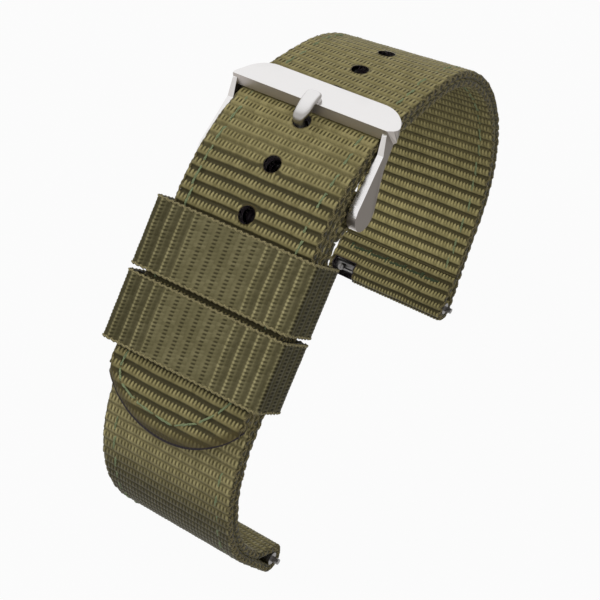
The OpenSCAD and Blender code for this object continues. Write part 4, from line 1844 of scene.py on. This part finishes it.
@dataclass
class LongStrap:
    """The long strap with its holes, tail, back lug fold and stitching.

    The tip's needle holes are places across the strap and path distances. The strap's right side
    is twisted outwards between two path distances, over a length at each end.
    """

    profile: Profile
    rib_pitch: float = 1.54
    outer_crest: float = 1.55
    inner_crest_s: float = 120.2
    hole_r: float = 1.1
    twist: float = 1.0
    twist_from: tuple[float, float] = (76.0, 16.0)
    twist_to: tuple[float, float] = (127.0, 14.0)
    worn_top: Triple = (82.0, 19.0, 0.9)
    worn_bar: Triple = (64.4, 2.6, 0.6)
    worn_inner: Triple = (90.0, 22.0, 0.3)
    edge_start_s: float = 36.6
    lug_rows: tuple[float, float] = (3.3, 5.1)
    lug_thread_r: float = 0.24
    tip_needles: tuple[tuple[float, float], ...] = (
        (-8.1, 34.6), (-7.4, 32.8), (-4.6, 31.75), (-1.6, 31.1), (1.3, 31.15), (4.1, 32.6), (6.2, 34.9),
    )

    def __post_init__(self) -> None:
        """Lays out the strap's trails."""
        profile = self.profile
        p = self.path = profile.path
        self.needles = [(s - p.tail_s, x) for x, s in self.tip_needles]
        self.outer = profile.trail(
            profile.run(p.tail_s, p.end_s, p.long_out),
            profile.fold(p.end_s, p.long_out, p.long_in, Side.BEFORE),
        )
        self.inner = profile.trail(inward(profile.run(p.tail_s, p.end_s - p.fold_taper, p.long_in)))
        for trail, place, way in ((self.outer, self.outer_t, 1), (self.inner, self.inner_t, -1)):
            first, last = place(self.twist_from[0]), place(self.twist_to[0])
            rise = smooth((trail.t - first) / self.twist_from[1])
            fall = smooth((last - trail.t) / self.twist_to[1])
            trail.lean = way * self.twist / (2 * HALF_W) * (rise * fall)

    def outer_t(self, s: float) -> float:
        """Distance on the outer trail of a path distance."""
        return self.profile.span(self.path.tail_s, s, self.path.long_out)

    def inner_t(self, s: float) -> float:
        """Distance on the inner trail of a path distance."""
        return self.profile.span(self.path.tail_s, s, self.path.long_in)

    def webbing(self) -> list[Piece]:
        """Makes the two plies.

        Returns:
            The pieces.
        """
        p = self.path
        hole_s = [p.first_hole_s + k * p.hole_pitch for k in range(p.hole_count)]
        notch = self.profile.round_bar(self.outer, p.end_s, p.long_out, -NOTCH_FRONT, NOTCH_REACH, True)
        top_s, *top = self.worn_top
        bar_s, *bar = self.worn_bar
        inner_s, *inner_worn = self.worn_inner
        outer = Ply(
            "long_outer_ply", self.outer,
            Weave(rib_h=0.4, rib_rows=(0.0, 0.11, 0.26, 0.43, 0.60, 0.82)),
            pitched_ribs(self.outer.length, self.rib_pitch, self.outer_crest),
            holes=[(self.outer_t(s), self.hole_r) for s in hole_s],
            windows=[(*notch, *NOTCH_X)], needles=self.needles,
            calm=[(self.outer_t(top_s), *top), (self.outer_t(bar_s), *bar)],
            tail=Tail(), seed=3,
        ).build()
        inner = Ply(
            "long_inner_ply", self.inner, Weave(turned=True, yarn_h=0.09),
            pitched_ribs(self.inner.length, self.rib_pitch, self.inner_t(self.inner_crest_s)),
            holes=[(self.inner_t(s), self.hole_r) for s in hole_s],
            calm=[(self.inner_t(inner_s), *inner_worn)], tail=Tail(), facing=-1, seed=5,
        ).build()
        yarns, edge = Cords("long_selvedge_yarns", sides=5), Selvedge()
        outer_trim, inner_trim = YARN_TRIM
        edge.sew(yarns, self.outer, YARN_START, self.outer.length - outer_trim, HALF_W, p.ply_t, 51)
        edge.sew(yarns, self.inner, YARN_START, self.inner.length - inner_trim, HALF_W, p.ply_t, 53)
        return [
            seat(outer, "olive", "strap", "strap_webbing", "long_webbing"),
            seat(inner, "inner_olive", "strap", "strap_webbing"),
            seat(yarns.build(), "edge_yarn", "strap", "strap_webbing"),
        ]

    def stitching(self) -> list[Piece]:
        """Sews the edge rows, the tip's row and the lug's cross rows.

        Returns:
            The pieces.
        """
        p, seam = self.path, Seam()
        edge, tip, lug = Cords("long_edge_thread"), Cords("long_tip_thread"), Cords("long_lug_thread")
        last = p.end_s - self.lug_rows[-1]
        for side, seed in ((-1, 1), (1, 2)):
            seam.row(edge, self.outer, self.outer_t(self.edge_start_s), self.outer_t(last),
                     side * SEAM_X - 0.22, STITCH_PITCH, STITCH_GAP + 0.2 * side, seed)
            seam.row(edge, self.inner, self.inner_t(p.tongue_s + 5), self.inner_t(last),
                     side * SEAM_X, STITCH_PITCH, STITCH_GAP, seed + 4)
        first, end = self.needles[0], self.needles[-1]
        ends = [(first[0] + 2.2, first[1] + 0.1), *self.needles, (end[0] + 2.4, 7.6)]
        for k, (a, b) in enumerate(zip(ends, ends[1:])):
            d = np.subtract(b, a) * 0.02
            off = np.array([0.10, 0.06]) * (-1) ** k
            seam.stitch(tip, self.outer, tuple(np.add(a, d) + off), tuple(np.subtract(b, d) - off))
        seam = Seam(thread_r=self.lug_thread_r)
        for back in self.lug_rows:
            t = self.outer_t(p.end_s - back)
            seam.cross(lug, self.outer, t, -CROSS_X, CROSS_X, CROSS_L, CROSS_GAP)
        seam.cross(lug, self.outer, self.outer.length - 1.6, -CROSS_X, CROSS_X + 0.5, 2.6, 0.2,
                   lean=0.1, bar=0.55)
        return [
            seat(edge.build(), "light_thread", "strap", "light_thread", "long_edge_stitching"),
            seat(tip.build(), "light_thread", "strap", "light_thread", "long_tip_stitching"),
            seat(lug.build(), "dark_thread", "strap", "dark_thread", "long_lug_stitching"),
        ]

    def build(self) -> list[Piece]:
        """Makes the whole strap."""
        return self.webbing() + self.stitching()


@dataclass
class ShortStrap:
    """The short strap with its two folds and stitching.

    The shaded stretch is a path distance, half its length, the softness of its ends and its depth; it is
    painted shade that darkens the lower front of the strap.
    """

    profile: Profile
    rib_pitch: float = 1.36
    rib_h: float = 0.3
    crest_s: float = 16.96
    slot_half: float = 1.1
    shaded: tuple[float, float, float, float] = (12.0, 14.0, 9.0, 1.0)
    edge_rows: tuple[float, float] = (6.9, 28.0)
    inner_margin: float = 6.8
    lug_rows: tuple[float, float] = (3.3, 5.1)
    buckle_row: float = 5.6

    def __post_init__(self) -> None:
        """Lays out the strap's trails."""
        profile = self.profile
        p = self.path = profile.path
        self.front_fold = flip(profile.fold(0.0, 0.0, p.short_in, Side.AFTER))
        self.outer = profile.trail(
            self.front_fold, profile.run(0.0, p.bar_s, 0.0),
            profile.fold(p.bar_s, 0.0, p.short_in, Side.BEFORE),
        )
        self.inner = profile.trail(
            inward(profile.run(p.fold_taper, p.bar_s - p.fold_taper, p.short_in))
        )
        self.lead = float(steps(self.front_fold[0]).sum())

    def outer_t(self, s: float) -> float:
        """Distance on the outer trail of a path distance."""
        return self.lead + self.profile.span(0.0, s, 0.0)

    def inner_t(self, s: float) -> float:
        """Distance on the inner trail of a path distance."""
        return self.profile.span(self.path.fold_taper, s, self.path.short_in)

    def webbing(self) -> list[Piece]:
        """Makes the two plies.

        Returns:
            The pieces.
        """
        p = self.path
        notch = self.profile.round_bar(self.outer, 0.0, 0.0, -NOTCH_REACH, NOTCH_FRONT, True)
        slot = self.profile.round_bar(self.outer, p.bar_s, 0.0, -NOTCH_REACH, NOTCH_REACH, False)
        shaded_s, *shaded = self.shaded
        outer = Ply(
            "short_outer_ply", self.outer, Weave(rib_h=self.rib_h),
            pitched_ribs(self.outer.length, self.rib_pitch, self.outer_t(self.crest_s)),
            windows=[(*notch, *NOTCH_X), (*slot, -self.slot_half, self.slot_half)],
            # Painted shadow on the short strap under the first hole of the long strap.
            marks=[(self.outer_t(p.first_hole_s), 1.5)],
            # Painted shade on the lower front of the strap, where less light falls.
            painted_shade_spans=[(self.outer_t(shaded_s), *shaded)],
            calm=[(0.5 * self.outer.length, self.outer.length, 0.6)], seed=13,
        ).build()
        inner = Ply(
            "short_inner_ply", self.inner, Weave(rib_h=self.rib_h),
            pitched_ribs(self.inner.length, self.rib_pitch, self.inner_t(self.crest_s)),
            facing=-1, seed=15,
        ).build()
        yarns, edge = Cords("short_selvedge_yarns", sides=5), Selvedge(pitch=2.7)
        for trail, trim, seed in ((self.outer, YARN_TRIM[0], 55), (self.inner, YARN_TRIM[1], 57)):
            edge.sew(yarns, trail, trim, trail.length - trim, HALF_W, p.ply_t, seed)
        return [
            seat(outer, "short_olive", "strap", "strap_webbing", "short_webbing"),
            seat(inner, "olive", "strap", "strap_webbing"),
            seat(yarns.build(), "edge_yarn", "strap", "strap_webbing"),
        ]

    def stitching(self) -> list[Piece]:
        """Sews the edge rows and the cross rows of both folds.

        Returns:
            The pieces.
        """
        p, seam = self.path, Seam()
        edge, lug = Cords("short_edge_thread"), Cords("short_lug_thread")
        fold = Cords("short_buckle_thread")
        for side, seed in ((-1, 21), (1, 22)):
            first, last = (self.outer_t(s) for s in self.edge_rows)
            seam.row(edge, self.outer, first, last, side * SEAM_X, STITCH_PITCH, STITCH_GAP, seed)
            first = self.inner_t(self.inner_margin)
            last = self.inner_t(p.bar_s - self.inner_margin)
            seam.row(edge, self.inner, first, last, side * SEAM_X, STITCH_PITCH, STITCH_GAP, seed + 4)
        for s in self.lug_rows:
            seam.cross(lug, self.outer, self.outer_t(s), -CROSS_X, CROSS_X, CROSS_L, CROSS_GAP)
        t = self.inner_t(p.bar_s - self.buckle_row)
        seam.cross(fold, self.inner, t, -CROSS_X, CROSS_X, CROSS_L, CROSS_GAP)
        return [
            seat(edge.build(), "light_thread", "strap", "light_thread", "short_edge_stitching"),
            seat(lug.build(), "dark_thread", "strap", "dark_thread", "short_lug_stitching"),
            seat(fold.build(), "dark_thread", "strap", "dark_thread", "short_buckle_stitching"),
        ]

    def build(self) -> list[Piece]:
        """Makes the whole strap."""
        return self.webbing() + self.stitching()


@dataclass
class Keeper:
    """One webbing loop round both straps, with its lap on the wrist side.

    The worn stretch is a distance from the middle of the front, half a length and a share. The shades
    are painted shade on both walls and on the left of the front; each is half a length, a softness and a
    depth, or the last two alone for both walls.
    """

    name: str
    s: float
    profile: Profile
    seed: int
    length: float = 9.2
    thick: float = 1.0
    clear: float = 0.25
    corner_r: float = 0.85
    sway: float = 0.2
    lap_half: float = 4.5
    lap_t: float = 0.7
    rib_pitch: float = 1.66
    cord_pitch: float = 0.83
    cord_r: float = 0.16
    worn: Triple = (0.5, 5.2, 1.0)
    flat: tuple[float, float] = (30.0, 0.35)
    wall_shade: tuple[float, float] = (0.5, 0.8)
    left_shade: Triple = (7.0, 7.0, 0.45)

    def build(self) -> list[Piece]:
        """Makes the loop, its lap, its edge cords and its stitches.

        Returns:
            The pieces.
        """
        p = self.profile.path
        low = p.short_in - self.clear - self.thick
        high = p.long_out + self.clear + self.thick
        half_x = HALF_W + self.clear + self.thick
        weave = Weave(
            rib_h=0.26, calm_h=0.12, yarn_pitch=0.47, yarn_h=0.1, slant=0.0, ragged=0.03
        )
        ring = self.profile.ring(self.s, half_x + self.sway, low, high, self.corner_r)
        ring.points[:, 0] -= self.sway
        count = round(ring.length / self.rib_pitch)
        wall_half = (high - low) / 2
        wall_t = half_x - self.corner_r * (2 - math.pi / 2) + wall_half
        middle, walls = 0.5 * ring.length, (wall_t, ring.length - wall_t)
        worn_t, *worn = self.worn
        loop = Ply(
            self.name + "_loop", ring, weave, np.linspace(0, ring.length, count + 1),
            half_w=self.length / 2 - 0.14, thick=self.thick - 0.02, edge_l=0.3, seed=self.seed,
            calm=[(middle + worn_t, *worn), (middle, *self.flat), *((t, wall_half, 1.0) for t in walls)],
            # Painted shade: both walls and the left of the front are darkened where less light falls.
            painted_shade_spans=[*((t, wall_half, *self.wall_shade) for t in walls),
                     (middle + half_x, *self.left_shade)],
        ).build()
        lap_trail = self.profile.lap(self.s, self.lap_half, low - self.lap_t)
        lap = Ply(
            self.name + "_lap", lap_trail, weave,
            pitched_ribs(lap_trail.length, self.rib_pitch, 0.8),
            half_w=self.length / 2, thick=self.lap_t + 0.15, edge_l=0.25, seed=self.seed + 1,
        ).build()
        cord = Cords(self.name + "_edge_cord", sides=6)
        t = np.linspace(0.3, ring.length - 0.3, int(ring.length / 0.18))
        for side in (-1, 1):
            turn = 2 * np.pi * t / self.cord_pitch
            x = side * (self.length / 2 - 0.34) + 0.08 * np.sin(turn)
            h = -0.14 + 0.06 * np.cos(turn)
            cord.add(ring, t, x, h, self.cord_r + 0.04 * np.sin(2 * turn))
        thread, seam = Cords(self.name + "_thread"), Seam(thread_r=0.15, rise=0.09)
        for k in (-1, 0, 1):
            for side in (-1, 1):
                a = lap_trail.length / 2 + side * (self.lap_half - 0.7)
                x = k * (self.length - 1.8) / 3
                seam.stitch(thread, lap_trail, (a, x - 0.9), (a, x + 0.9))
        body = self.name.replace("keeper_", "") + "_keeper"
        return [
            seat(loop, "keeper", body, "keeper_webbing", self.name),
            seat(lap, "keeper", body, "keeper_webbing"),
            seat(cord.build(), "keeper_cord", body, "keeper_webbing"),
            seat(thread.build(), "dark_thread", body, "dark_thread", self.name + "_stitching"),
        ]


@dataclass
class Buckle:
    """The buckle's frame with softened edges, and its tongue.

    The frame starts as a copy of its solid. The lip and the waist are points of its front that go
    lower, the shift moves the plate to the right behind its front edge, and the cut takes the
    front's outer corners back. The tongue lies a little above the plate, and bends before it.
    """

    path: LoopPath
    edge_r: float = 0.15
    soft_r: float = 0.5
    lip: float = 0.45
    waist_drop: float = 0.4
    waist_cut: float = 0.45
    inner_x: float = 10.25
    outer_x: float = 11.45
    arm_x: float = 11.08
    eye_reach: float = 2.3
    shift: float = 0.8
    swell_l: float = 1.5
    cut_x: float = 0.6
    cut_l: float = 0.8
    cut_lift: float = 0.3
    cut_from: float = 11.0
    corner: float = 0.9
    crease: float = 35.0
    found: float = 0.06
    plate_reach: float = 7.2
    plate_l: float = 3.4
    plate_t: float = 1.1
    plate_clear: float = 0.75
    tongue_w: float = 1.66
    tongue_t: float = 0.94
    tip_l: float = 1.75
    tip_rise: float = 0.04
    bend_back: float = 0.2
    tip_round: float = 0.75
    top_wider: float = 0.2
    top_shift: float = 0.4
    neck: float = 0.22
    ring_t: float = 0.78
    skin: float = 0.07

    def plate_axes(self) -> tuple[Array, Array, Array]:
        """Lower front corner of the plate, and the ways along and above it.

        Returns:
            The corner's y and z, and both directions.
        """
        first, out = self.path.bar_s + self.plate_reach, self.path.long_out + self.plate_clear
        near, _ = self.path.at([first], out)
        far, _ = self.path.at([first + self.plate_l], out)
        run = (far[0] - near[0]) / np.linalg.norm(far[0] - near[0])
        return near[0], run, np.array([-run[1], run[0]])

    def soft_copy(self, node: str, name: str, width: float) -> Piece:
        """Makes a copy of a solid with rounded edges.

        Args:
            node: The solid's node.
            name: The new piece's name.
            width: Width of the rounding in millimetres.

        Returns:
            The new object.
        """
        work = bmesh.new()
        work.from_mesh(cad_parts[node].data)
        bmesh.ops.remove_doubles(work, verts=work.verts, dist=1e-7)
        bmesh.ops.dissolve_limit(
            work, angle_limit=math.radians(1.0), verts=work.verts, edges=work.edges
        )
        self.shape(work, width)
        mesh = bpy.data.meshes.new(name)
        work.to_mesh(mesh)
        work.free()
        mesh.shade_smooth()
        piece = bpy.data.objects.new(name, mesh)
        show(piece)
        bevel = piece.modifiers.new("soften", "BEVEL")
        bevel.width, bevel.segments, bevel.limit_method = self.soft_r * MM, 4, "WEIGHT"
        bevel.use_clamp_overlap = True
        even = piece.modifiers.new("even", "WEIGHTED_NORMAL")
        even.mode, even.weight = "FACE_AREA", 70
        bake(piece).data.name = name
        return piece

    @staticmethod
    def beside(vert: bmesh.types.BMVert, x: float) -> bool:
        """True where a point is x millimetres from the middle, to either side."""
        return abs(abs(vert.co.x) / MM - x) < 0.02

    def shape(self, work: bmesh.types.BMesh, width: float) -> None:
        """Deepens the plate's front wall, and weighs each edge by how round it gets.

        Args:
            work: The frame's mesh.
            width: Width of the rounding of a plain edge in millimetres.
        """
        p = self.path
        near, run, up = self.plate_axes()
        eye, _ = p.at([p.bar_s], -p.eye_r)
        line = near + self.plate_t / 2 * up - eye[0]
        above = np.array([-line[1], line[0]]) / np.linalg.norm(line)
        waist, _ = p.at([p.bar_s + p.tongue_reach], p.long_out - self.waist_drop)
        for vert in work.verts:
            yz = np.array(vert.co.yz) / MM
            ahead, lift = (yz - near) @ run, (yz - near) @ up
            swell = 1 - (1 - float(np.clip(ahead / self.swell_l, 0, 1))) ** 2
            if lift > -0.05:
                if lift > self.cut_lift and abs(vert.co.x) > self.cut_from * MM:
                    cut = max(0.0, 1 - max(ahead, 0.0) / self.cut_l) ** 2
                    vert.co.x *= 1 - self.cut_x / self.outer_x * cut
                vert.co.x += self.shift * MM * swell
            elif self.beside(vert, self.outer_x) and np.hypot(*(yz - eye[0])) > self.eye_reach:
                vert.co.x *= self.arm_x / self.outer_x
            for place, drop in ((near, self.lip), (waist[0], self.waist_cut)):
                if np.hypot(*(yz - place)) < self.found:
                    vert.co.y -= drop * MM * up[0]
                    vert.co.z -= drop * MM * up[1]
        inner_corners = [
            edge for edge in work.edges
            if all(self.beside(v, self.inner_x) and abs((np.array(v.co.yz) / MM - near) @ run) < 0.2
                   for v in edge.verts)
            and abs((edge.verts[0].co - edge.verts[1].co).x) < 1e-6
        ]
        bmesh.ops.bevel(
            work, geom=inner_corners, offset=self.corner * MM, segments=5, profile=0.5,
            affect="EDGES", clamp_overlap=True,
        )
        weight = work.edges.layers.float.new("bevel_weight_edge")
        for edge in work.edges:
            if len(edge.link_faces) != 2 or edge.calc_face_angle(0.0) < math.radians(self.crease):
                continue
            middle = (edge.verts[0].co + edge.verts[1].co) / 2 / MM
            height = (np.array(middle.yz) - eye[0]) @ above
            ahead = (np.array(middle.yz) - near) @ run
            inner = all(self.beside(v, self.inner_x) for v in edge.verts)
            soft = inner and height > 0.5 and ahead < 0
            edge[weight] = 1.0 if soft else width / self.soft_r

    def rod(self) -> Piece:
        """Makes the tongue: a ring on the bar, and a bent rod with a rounded tip.

        Returns:
            The new object, as one closed skin.
        """
        p, half_t = self.path, self.tongue_t / 2
        bar, n = p.at([p.bar_s], -p.eye_r)
        bar, n = bar[0], n[0]
        along = np.array([n[1], -n[0]])
        near, run, up = self.plate_axes()
        low = bar + along * p.tongue_reach + n * (p.eye_r - 0.9)
        high = bar + along * p.tongue_reach + n * (p.eye_r + p.long_out + self.plate_clear)
        bend = near + (self.plate_t + half_t + self.tip_rise) * up - self.bend_back * run
        tip = bend + self.tip_l * run
        start = bar + along * (p.tube_r + p.run_clear + 0.35) + n * 0.1
        path = np.array([start, low, (low + high) / 2, high, bend, (bend + tip) / 2, tip])
        fine = self.soften(path)
        way = np.gradient(fine, axis=0)
        way /= np.linalg.norm(way, axis=1, keepdims=True)
        over = np.column_stack([-way[:, 1], way[:, 0]])
        to_tip = np.concatenate([np.cumsum(steps(fine)[::-1])[::-1], [0]])
        size = np.sqrt(np.clip(1 - (1 - np.clip(to_tip / self.tip_round, 0, 1)) ** 2, 0.02, 1))
        a = np.linspace(0, 2 * np.pi, 28, endpoint=False)
        to_top = smooth(np.linspace(0, 1, len(fine)) / 0.22 - 2.6)
        flat = swollen(np.cos(a), 0.75) * self.tongue_w / 2
        rise = swollen(np.sin(a), 0.75) * half_t
        slim = 1 - self.neck * (1 - to_top)
        x = (size * (slim + self.top_wider * to_top))[:, None] * flat[None]
        x = x + self.top_shift * to_top[:, None]
        yz = fine[:, None] + ((size * slim)[:, None] * rise[None])[..., None] * over[:, None]
        yz -= ((1 - size) * 0.85 * half_t)[:, None, None] * over[:, None]
        draft = MeshDraft()
        index = draft.add(np.concatenate([x[..., None], yz], -1), np.zeros(2))
        draft.tube(index)
        inner_r, outer_r = p.tube_r + p.run_clear, p.tube_r + p.run_clear + self.ring_t
        section = swollen(unit(np.linspace(0, 360, 24, endpoint=False)), 0.6)
        rr = (inner_r + outer_r) / 2 + section[:, 1] * (outer_r - inner_r) / 2
        spin = unit(np.linspace(0, 360, 72, endpoint=False))
        ring = bar + rr[None, :, None] * spin[:, None]
        xs = np.broadcast_to(section[:, 0] * 0.75, (72, 24))
        index = draft.add(np.concatenate([xs[..., None], ring], -1), np.zeros(2))
        index = np.row_stack([index, index[:1]])
        draft.grid(np.column_stack([index, index[:, 0]]), turned=True)
        piece = draft.build("tongue_rod")
        return self.fuse(piece, self.skin)

    @staticmethod
    def soften(path: Array) -> Array:
        """Rounds the corners of a line of points.

        Args:
            path: The line's points.

        Returns:
            A finer, rounder line.
        """
        t = walked(path)
        fine = np.linspace(0, t[-1], 160)
        line = np.column_stack([np.interp(fine, t, path[:, k]) for k in (0, 1)])
        for _ in range(110):
            line[1:-1] = (line[:-2] + 2 * line[1:-1] + line[2:]) / 4
        return line

    @staticmethod
    def fuse(piece: Piece, size: float) -> Piece:
        """Joins a piece's closed parts into one even skin.

        Args:
            piece: The piece.
            size: Size of the skin's faces in millimetres.

        Returns:
            The same piece.
        """
        remesh = piece.modifiers.new("skin", "REMESH")
        remesh.mode, remesh.voxel_size = "VOXEL", size * MM
        relax = piece.modifiers.new("relax", "SMOOTH")
        relax.factor, relax.iterations = 0.5, 6
        bake(piece).data.shade_smooth()
        return piece

    def build(self) -> list[Piece]:
        """Makes and dresses the metal.

        Returns:
            The new pieces.
        """
        body = self.soft_copy("buckle_frame", "buckle_frame_soft", self.edge_r)
        tongue = self.rod()
        seat(body, "buckle", "buckle", "buckle_steel", "buckle_frame")
        seat(tongue, "tongue", "tongue", "buckle_steel", "buckle_tongue")
        return [body, tongue]


def dress_bars() -> int:
    """Gives the spring bars' solids their finish.

    Returns:
        How many solids were dressed.
    """
    count = 0
    for name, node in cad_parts.items():
        if "_bar_" in name or "_pin_" in name:
            node.data.materials.clear()
            node.data.materials.append(MATERIALS["bar"])
            count += 1
    return count


FINISHES: dict[str, Webbing | Thread | Steel] = {
    "olive": OLIVE,
    "inner_olive": INNER_OLIVE,
    "short_olive": SHORT_OLIVE,
    "keeper": KEEPER,
    "keeper_cord": KEEPER_CORD,
    "edge_yarn": EDGE_YARN,
    "light_thread": LIGHT_THREAD,
    "dark_thread": DARK_THREAD,
    "buckle": BUCKLE_STEEL,
    "tongue": TONGUE_STEEL,
    "bar": BAR_STEEL,
}
MATERIALS: dict[str, bpy.types.Material] = {}


def main() -> None:
    """Builds the strap from its classes, in order."""
    logging.basicConfig(level=logging.INFO)
    for key, finish in FINISHES.items():
        MATERIALS[key] = finish.make()
    Scene().build()
    path = LoopPath()
    profile = Profile(path)
    makers = [
        LongStrap(profile),
        ShortStrap(profile),
        Keeper("keeper_upper", path.upper_s, profile, 31),
        Keeper("keeper_lower", path.lower_s, profile, 41),
        Buckle(path),
    ]
    for maker in makers:
        for piece in maker.build():
            LOG.info("%s: %d faces", piece.name, len(piece.data.polygons))
    LOG.info("spring bars: %d solids dressed", dress_bars())


if __name__ == "__main__":
    main()
